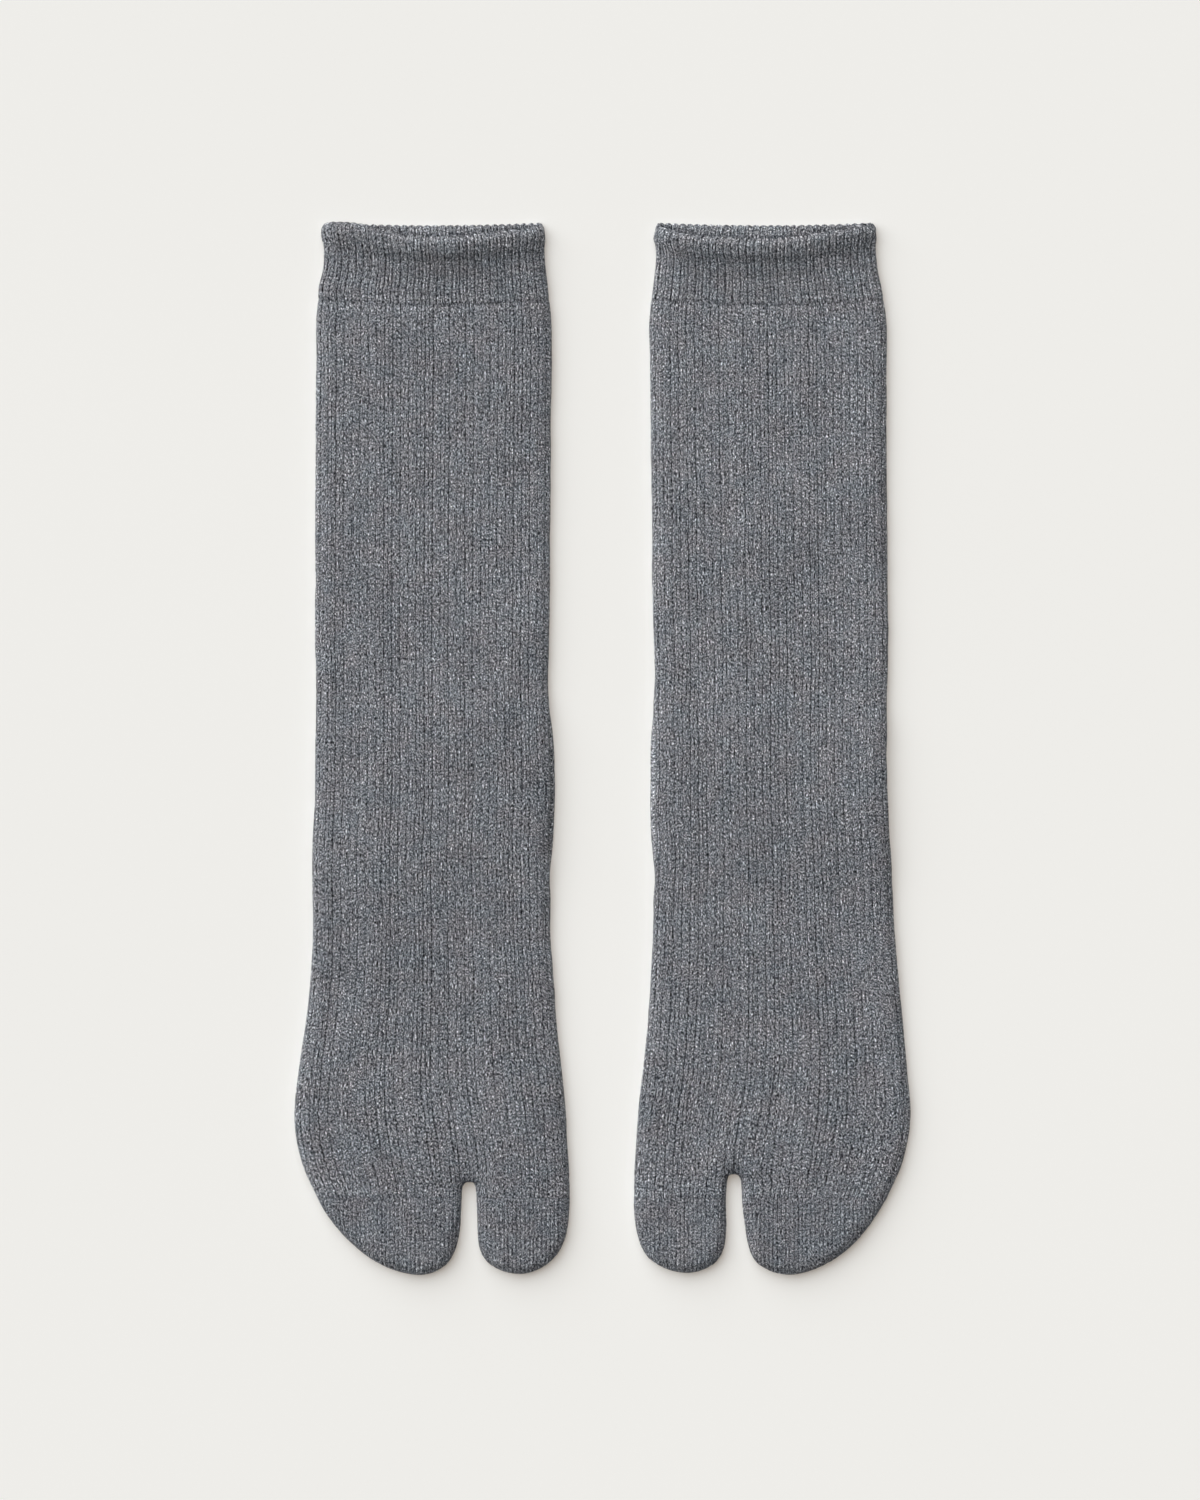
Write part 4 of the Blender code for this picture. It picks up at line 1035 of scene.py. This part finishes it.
def toe_edge(toe, down, side):
    """An edge's x of a toe pocket: a low-order curve in the square root of the way to the tip."""
    reach = np.array([0.0] + [math.sqrt(toe.tip - row.down) for row in toe.rows])
    middle = (toe.rows[-1].outer + toe.rows[-1].inner) / 2
    x = np.array([middle] + [getattr(row, side) for row in toe.rows])
    fit = np.polyfit(reach, x, TOE_CURVE_ORDER)
    here = math.sqrt(max(toe.tip - down, 0.0))
    share = here / reach[1]
    off_line = (x[1] - np.polyval(fit, reach[1])) * share ** LINE_FADE_POWER
    off_tip = (middle - fit[-1]) * max(1 - share * TIP_FADE_SPEED, 0.0) ** 2
    return float(np.polyval(fit, here) + off_line + off_tip)


def toe_section(toe, down, foot_folds):
    """Section of a toe pocket, whose top and underside round off together towards the tip.

    The second value says how fully its underside keeps its inset: less than 1 near the tip.
    """
    a, b = (toe_edge(toe, down, side) for side in ("outer", "inner"))
    leans = [math.hypot(1, (toe_edge(toe, down + LEAN_STEP, side) - edge) / LEAN_STEP)
             for side, edge in (("outer", a), ("inner", b))]
    level = level_at(down)
    waist = WAIST_SHARE * level.top
    half = (b - a) / 2
    top = waist + (level.top - waist) * float(round_share(toe.tip - down, TOE_FOLD_DEPTH))
    low = waist * (1 - float(round_share(toe.tip - down, REST_INSET)))
    settle = float(ease((down - TOE_LINE) / TOE_SETTLE))
    folds = [min(fold + (TOE_FOLD_DEPTH * lean - fold) * settle, half)
             for fold, lean in zip(foot_folds, leans)]
    walls = [min(SIDE_WALL * lean, half * WALL_LIMIT) for lean in leans]
    section = Section(
        down=down, a=a, b=b, top=top, arch=level.arch * top / level.top, dip=0.0,
        floor=level.floor, layers=0.0, waist=waist, fold_a=folds[0], fold_b=folds[1], low=low,
        cleft=0.0, dimple=0.0, wall_a=walls[0], wall_b=walls[1])
    return section, min(1.0, half / REST_INSET / 2)


def toe_ring(toe, down, foot_folds, columns):
    """Outer ring of a toe pocket, drawn in underneath as the pocket narrows to its tip."""
    section, inset = toe_section(toe, down, foot_folds)
    ring = outer_ring(section, columns, (1, 0))
    middle = (section.a + section.b) / 2
    count = sum(columns.top)
    ring[count:, 0] = np.clip(ring[count:, 0], min(section.a, middle), max(section.b, middle))
    if inset < 1.0:
        below = np.arange(count, len(ring))
        share = (below - count) / len(below)
        even = section.b + (section.a - section.b) * share
        ring[below, 0] += (even - ring[below, 0]) * (1 - inset)
    return ring


def girth(ring, columns, middle):
    """Distance round a ring from its middle x, both ways over the top and down the sides.

    Underneath, the two ways are joined evenly.
    """
    count = sum(columns.top)
    right = count + columns.side
    left = right + sum(columns.under)
    closed = np.concatenate((ring, ring[:1]))
    run = walked(closed[:, 0], closed[:, 2])
    along = run[:-1].copy()
    along[left:] = run[left:-1] - run[-1]
    along[right:left] = np.linspace(run[right], run[left] - run[-1], left - right, endpoint=False)
    return middle + along - np.interp(middle, ring[:count, 0], run[:count])


def knit_toe(sock, sizes, toe, columns, foot_folds):
    """Plain-knit toe pocket: open at the toe line, rounded and closed at its tip."""
    course, wale_width = sizes.course / MM, sizes.toe_wale / MM
    reaches = np.linspace(math.sqrt(toe.tip - TOE_LINE), LAST_REACH, TOE_ROWS)
    downs = np.insert(toe.tip - reaches ** 2, 1, TOE_LINE + TOE_LINE_HEM)
    inner_downs = np.linspace(TOE_LINE, toe.tip - SIDE_WALL - TIP_WALL, TOE_INNER_ROWS)
    outer = np.stack([toe_ring(toe, down, foot_folds, columns) for down in downs])
    inner = np.stack([inner_ring(toe_section(toe, down, foot_folds)[0], columns)
                      for down in inner_downs])
    middle = outer[-1, :, 0].mean()
    wale = np.stack([girth(ring, columns, middle) for ring in outer]) / wale_width
    courses = (TOE_LINE + walked(downs, outer[:, :, 2].max(1)))[:, None] / course

    clear = off_surface(outer[:, :, 2])
    near = ease((downs - TOE_LINE) / TOE_LINE_REACH)[:, None]
    tip_fade = ease((toe.tip - downs) / TIP_FADE)[:, None]
    seed = sock.seed + TOE_SEED
    relief = knit_relief(wale, courses, sizes, seed, 0.0)
    relief = clear * toe_line_relief(relief, near, sizes, tip_fade)
    relief += swell(outer, sock, clear, sizes, seed) * TOE_SWELL * near * tip_fade

    cloth = Cloth(sock)
    numbers = np.concatenate((
        cloth.add(inner[::-1]),
        cloth.add(raised(outer, relief), 1 + fold_painted_sheen(outer, TOE_PAINTED_SHEEN))))
    all_wale = np.concatenate((inner[::-1, :, 0] / wale_width, wale))
    all_wale = np.concatenate((all_wale, all_wale[:, :1]), 1)
    all_courses = np.concatenate((-inner_downs[::-1] / course, courses[:, 0]))
    cloth.skin(numbers, all_wale, all_courses[:, None], WHOLE_CHART)
    tip_point = outer[-1].mean(0) * (1, 0, 1) + (0, MOUTH_Y - toe.tip, 0)
    hollow_point = inner[-1].mean(0) - (0, TIP_WALL / 2, 0)
    last_knit = (wale[-1, 0], courses[-1, 0])
    cloth.cap(numbers[-1], cloth.add(tip_point[None])[0], last_knit, TIP_SPOT, True)
    cloth.cap(numbers[0], cloth.add(hollow_point[None])[0], (0.0, 0.0), HOLLOW_SPOT, False)
    return cloth


# ---- materials ---------------------------------------------------------------------------------
class Nodes:
    """Short ways to add and link shader nodes."""

    def __init__(self, material):
        material.use_nodes = True
        self.tree = material.node_tree
        self.shader = self.tree.nodes["Principled BSDF"]

    def add(self, kind, **settings):
        """A node of a kind, with its settings."""
        node = self.tree.nodes.new(kind)
        for key, value in settings.items():
            setattr(node, key, value)
        return node

    def put(self, socket, value):
        """Links or sets an input."""
        if isinstance(value, bpy.types.NodeSocket):
            self.tree.links.new(value, socket)
        else:
            socket.default_value = value

    def shade(self, **values):
        """Sets or links the shader's own inputs, with _ for a space in their names."""
        for name, value in values.items():
            self.put(self.shader.inputs[name.replace("_", " ")], value)

    def math(self, operation, *values, clamp=False):
        """Result of a Math node."""
        node = self.add("ShaderNodeMath", operation=operation, use_clamp=clamp)
        for socket, value in zip(node.inputs, values):
            self.put(socket, value)
        return node.outputs[0]

    def vector(self, operation, *values):
        """Result of a Vector Math node."""
        node = self.add("ShaderNodeVectorMath", operation=operation)
        for socket, value in zip(node.inputs, values):
            self.put(socket, value)
        return node.outputs[0]

    def times(self, value, factor):
        """A product."""
        return self.math("MULTIPLY", value, factor)

    def plus(self, value, more):
        """A sum."""
        return self.math("ADD", value, more)

    def minus(self, value, less):
        """A difference."""
        return self.math("SUBTRACT", value, less)

    def total(self, start, *terms):
        """A number plus each term times its weight."""
        for value, weight in terms:
            start = self.math("MULTIPLY_ADD", value, weight, start)
        return start

    def joined(self, x, y, z=0.0):
        """A vector from three values."""
        node = self.add("ShaderNodeCombineXYZ")
        for socket, value in zip(node.inputs, (x, y, z)):
            self.put(socket, value)
        return node.outputs[0]

    def off_whole(self, value):
        """How far a value is from the nearest whole number."""
        return self.math("PINGPONG", value, 0.5)

    def step(self, value, low, high):
        """Smooth step from 0 at low to 1 at high."""
        node = self.add("ShaderNodeMapRange", interpolation_type="SMOOTHSTEP")
        self.put(node.inputs["Value"], value)
        node.inputs["From Min"].default_value = low
        node.inputs["From Max"].default_value = high
        return node.outputs[0]

    def mix(self, factor, first, second):
        """Mixed vector. The Mix node's inputs 4 and 5 and output 1 are its vectors."""
        node = self.add("ShaderNodeMix", data_type="VECTOR", clamp_factor=True)
        for index, value in ((0, factor), (4, first), (5, second)):
            self.put(node.inputs[index], value)
        return node.outputs[1]

    def random(self, dimensions, socket, value):
        """A value of its own for each number or pair of numbers, from -0.5 to 0.5."""
        node = self.add("ShaderNodeTexWhiteNoise", noise_dimensions=dimensions)
        self.put(node.inputs[socket], value)
        return self.minus(node.outputs["Value"], 0.5)

    def noise(self, vector, scale, detail=2.0):
        """Noise around 0, from about -0.5 to 0.5."""
        node = self.add("ShaderNodeTexNoise")
        self.put(node.inputs["Vector"], vector)
        node.inputs["Scale"].default_value = scale
        node.inputs["Detail"].default_value = detail
        return self.minus(node.outputs["Fac"], 0.5)

    def over_knit(self, knit, pattern):
        """Noise over the knit map in a pattern."""
        shift = (0.0, 0.0, pattern.depth)
        place = self.vector("MULTIPLY_ADD", knit, (pattern.wales, pattern.courses, 1.0), shift)
        return self.noise(place, 1.0, pattern.detail)

    def along_yarn(self, wale, course, pattern):
        """Noise in a pattern over wale and course numbers that follow the stitches."""
        place = self.joined(self.times(wale, pattern.wales), self.times(course, pattern.courses),
                            pattern.depth)
        return self.noise(place, 1.0, pattern.detail)

    def groove(self, wale, course, first, width, strength, uneven):
        """Thin sunk line at every second wale boundary, uneven from line to line and along each."""
        place = self.times(self.minus(wale, first), 0.5)
        near = self.minus(1.0, self.step(self.off_whole(place), 0.0, width))
        number = self.math("ROUND", place)
        own = self.random("1D", "W", self.plus(number, first + GROOVE_OFFSET))
        along = self.along_yarn(number, course, GROOVE_WANDER._replace(depth=first))
        depth = self.total(strength, (own, GROOVE_UNEVEN * uneven), (along, GROOVE_FADES * uneven))
        return self.times(near, self.math("MAXIMUM", depth, 0.0))


def marl_knit(name, yarn, sizes, look):
    """Marled wool yarn in V-shaped stitches: the knit map gives the wale and course numbers."""
    material = bpy.data.materials.new(name)
    nodes = Nodes(material)
    knit = nodes.add("ShaderNodeUVMap", uv_map="Knit").outputs[0]
    parts = nodes.add("ShaderNodeSeparateXYZ")
    nodes.put(parts.inputs[0], knit)
    bend = nodes.times(nodes.over_knit(knit, BEND), BEND_WALES)
    slip = nodes.times(nodes.over_knit(knit, SLIP), SLIP_COURSES)
    wale = nodes.plus(parts.outputs[0], bend)
    course = nodes.plus(parts.outputs[1], slip)

    # one leg of a stitch: its own number, and where the point lies across it
    off_middle = nodes.times(nodes.off_whole(nodes.plus(wale, 0.5)), 2.0)
    climb = nodes.plus(course, nodes.times(off_middle, sizes.slant))
    across = nodes.times(nodes.off_whole(nodes.plus(climb, 0.5)), 2.0)
    strand = nodes.minus(1.0, nodes.math("POWER", across, STRAND_ROUND))
    leg = nodes.math("FLOOR", nodes.times(wale, 2.0))
    own = nodes.random("2D", "Vector", nodes.joined(leg, nodes.math("FLOOR", climb)))

    # flecks of the marl, changes of the yarn along a course, and slow patches
    fleck = nodes.along_yarn(wale, climb, FLECK)
    length = nodes.along_yarn(wale, course, LENGTH)
    patch = nodes.over_knit(knit, PATCH)
    slow = nodes.over_knit(knit, SLOW_PATCH)

    # grooves between ribs and between the two wales of a rib, each with a strength of its own
    groove = nodes.groove(wale, course, 0.0, RIB_GROOVE_WIDTH, look.ribs, look.uneven)
    line = nodes.groove(wale, course, 1.0, WALE_GROOVE_WIDTH, look.wales, look.uneven)
    sunk = nodes.math("ADD", groove, line, clamp=True)

    # the strands and grooves add painted shade between strands and in the grooves; the rest is the
    # yarn's own tone
    tone = nodes.total(
        BASE_TONE * look.shade, (own, STITCH_TONE), (fleck, yarn.marl * look.marl),
        (length, LENGTH_TONE), (patch, PATCH_TONE), (slow, PATCH_TONE), (strand, STRAND_PAINTED_SHADING),
        (sunk, -GROOVE_PAINTED_SHADE))
    # Shade holds painted light and shade, and the wool's own tone
    painted = nodes.add("ShaderNodeAttribute", attribute_name="Shade")
    tone = nodes.times(tone, painted.outputs["Fac"])
    casts = nodes.total(0.5, (nodes.over_knit(knit, CAST), CAST_CONTRAST))
    tinted = nodes.vector("ADD", nodes.joined(tone, tone, tone),
                          nodes.mix(casts, yarn.cool, yarn.warm))
    colour = nodes.add("ShaderNodeGamma")
    nodes.put(colour.inputs["Color"], nodes.vector("MAXIMUM", tinted, (0.0, 0.0, 0.0)))
    colour.inputs["Gamma"].default_value = TONE_GAMMA

    bump = nodes.add("ShaderNodeBump")
    bump.inputs["Strength"].default_value = 1.0
    bump.inputs["Distance"].default_value = yarn.relief
    height = nodes.total(0.0, (strand, STRAND_HEIGHT), (fleck, FLECK_HEIGHT), (sunk, -1.0))
    nodes.put(bump.inputs["Height"], height)
    nodes.shade(Base_Color=colour.outputs[0], Normal=bump.outputs[0], Roughness=yarn.roughness,
                Specular_IOR_Level=WOOL_SPECULAR, Sheen_Weight=yarn.sheen,
                Sheen_Roughness=SHEEN_ROUGHNESS)
    return material


def wool(name, look):
    """The named wool, made once."""
    found = bpy.data.materials.get(name)
    if found:
        return found
    scene = bpy.context.scene
    return marl_knit(name, scene.sock_yarn, scene.sock_sizes, look)


# ---- stage -------------------------------------------------------------------------------------
def lay_floor(stage):
    """Large matt floor under the socks, with a painted glow that lightens and warms the shadows on
    it.
    """
    half = stage.floor_span / 2
    corners = [(x * half, y * half, -FLOOR_DROP) for x, y in ((-1, -1), (1, -1), (1, 1), (-1, 1))]
    mesh = bpy.data.meshes.new("floor")
    mesh.from_pydata(corners, [], [(0, 1, 2, 3)])
    material = bpy.data.materials.new("pale_floor")
    nodes = Nodes(material)
    place = nodes.add("ShaderNodeTexCoord").outputs["Object"]
    mottle = nodes.plus(nodes.times(nodes.noise(place, MOTTLE_SCALE), MOTTLE), 1.0)
    tint = nodes.add("ShaderNodeVectorMath", operation="SCALE")
    tint.inputs[0].default_value = stage.floor_colour
    nodes.put(tint.inputs["Scale"], mottle)
    nodes.shade(Base_Color=tint.outputs[0], Emission_Color=PAINTED_GLOW_COLOUR,
                Emission_Strength=stage.painted_glow, Roughness=FLOOR_ROUGHNESS,
                Specular_IOR_Level=FLOOR_SPECULAR)
    mesh.materials.append(material)
    floor = bpy.data.objects.new("floor", mesh)
    bpy.context.scene.collection.objects.link(floor)


def light_stage(scene, stage):
    """Even sky and a soft key from the upper left."""
    world = bpy.data.worlds.new("soft_sky")
    world.use_nodes = True
    background = world.node_tree.nodes["Background"]
    background.inputs["Color"].default_value = SKY_COLOUR
    background.inputs["Strength"].default_value = stage.sky
    scene.world = world
    key_data = bpy.data.lights.new("key", "SUN")
    key_data.energy = stage.key
    key_data.angle = stage.key_softness
    key_data.color = KEY_COLOUR
    key = bpy.data.objects.new("key", key_data)
    key.rotation_euler = Vector(KEY_FROM).to_track_quat("Z", "Y").to_euler()
    scene.collection.objects.link(key)


def place_camera(scene, stage):
    """Overhead camera that takes in the whole frame."""
    data = bpy.data.cameras.new("overhead")
    data.lens = stage.lens
    data.sensor_fit = "AUTO"
    data.clip_end = VIEW_REACH
    camera = bpy.data.objects.new("overhead", data)
    camera.location = (AIM[0], AIM[1], FRAME_HEIGHT * data.lens / data.sensor_width)
    scene.collection.objects.link(camera)
    scene.camera = camera


# ---- operators ---------------------------------------------------------------------------------
class SOCKS_OT_cuffs(bpy.types.Operator):
    """Knit both cuffs, open at the mouth with a soft rolled edge"""
    bl_idname = "socks.cuffs"
    bl_label = "Knit cuffs"

    def execute(self, context):
        material = wool("cuff_marl", CUFF_LOOK)
        for sock in SOCKS:
            cloth = knit_cuff(sock, context.scene.sock_sizes)
            piece = cloth.make(f"{sock.name}_cuff", material, "ribbed_knit")
        return {"FINISHED"}


class SOCKS_OT_legs(bpy.types.Operator):
    """Knit both ribbed tubes from the cuff seam to the toe line, over the folded heel"""
    bl_idname = "socks.legs"
    bl_label = "Knit legs and feet"

    def execute(self, context):
        material = wool("ribbed_marl", LEG_LOOK)
        for sock in SOCKS:
            cloth = knit_leg_and_foot(sock, context.scene.sock_sizes)
            piece = cloth.make(f"{sock.name}_leg_and_foot", material, "ribbed_knit")
        return {"FINISHED"}


class SOCKS_OT_toes(bpy.types.Operator):
    """Knit the four plain toe pockets"""
    bl_idname = "socks.toes"
    bl_label = "Knit toe pockets"

    def execute(self, context):
        scene = context.scene
        sizes = scene.sock_sizes
        material = wool("plain_marl", TOE_LOOK._replace(shade=scene.sock_yarn.toe_shade))
        for sock in SOCKS:
            folds = (FOLD_DEPTH, FORK_FOLD_DEPTH)
            cloth = knit_toe(sock, sizes, sock.four_toe, FOUR_TOE_COLUMNS, folds)
            piece = cloth.make(f"{sock.name}_four_toe_pocket", material, "plain_knit")
            cloth = knit_toe(sock, sizes, sock.big_toe, BIG_TOE_COLUMNS, folds[::-1])
            piece = cloth.make(f"{sock.name}_big_toe_pocket", material, "plain_knit")
        return {"FINISHED"}


class SOCKS_OT_stage(bpy.types.Operator):
    """Lay the pale floor, light it softly from the upper left and look straight down"""
    bl_idname = "socks.stage"
    bl_label = "Set the stage"

    def execute(self, context):
        scene = context.scene
        lay_floor(scene.sock_stage)
        light_stage(scene, scene.sock_stage)
        place_camera(scene, scene.sock_stage)
        scene.view_settings.view_transform = "Standard"
        return {"FINISHED"}


class SOCKS_PT_panel(bpy.types.Panel):
    """Sizes, colours and steps of the socks"""
    bl_label = "Split-toe socks"
    bl_idname = "SOCKS_PT_panel"
    bl_space_type = "VIEW_3D"
    bl_region_type = "UI"
    bl_category = "Socks"

    def draw(self, context):
        for name in GROUPS:
            group = getattr(context.scene, name)
            box = self.layout.box()
            for setting in group.bl_rna.properties.keys():
                if setting not in ("rna_type", "name"):
                    box.prop(group, setting)
        for operator in OPERATORS:
            self.layout.operator(operator.bl_idname)


OPERATORS = (SOCKS_OT_stage, SOCKS_OT_cuffs, SOCKS_OT_legs, SOCKS_OT_toes)
GROUPS = {"sock_sizes": KnitSizes, "sock_yarn": YarnColours, "sock_stage": StageSettings}


def register():
    """Registers the classes and their places on the scene."""
    for kind in (*GROUPS.values(), *OPERATORS, SOCKS_PT_panel):
        bpy.utils.register_class(kind)
    for name, group in GROUPS.items():
        setattr(bpy.types.Scene, name, PointerProperty(type=group))


def unregister():
    """Removes what register added."""
    for name in GROUPS:
        delattr(bpy.types.Scene, name)
    for kind in (SOCKS_PT_panel, *reversed(OPERATORS), *reversed(GROUPS.values())):
        bpy.utils.unregister_class(kind)


def main():
    """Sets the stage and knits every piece."""
    register()
    bpy.ops.socks.stage()
    bpy.ops.socks.cuffs()
    bpy.ops.socks.legs()
    bpy.ops.socks.toes()


if __name__ == "__main__":
    main()
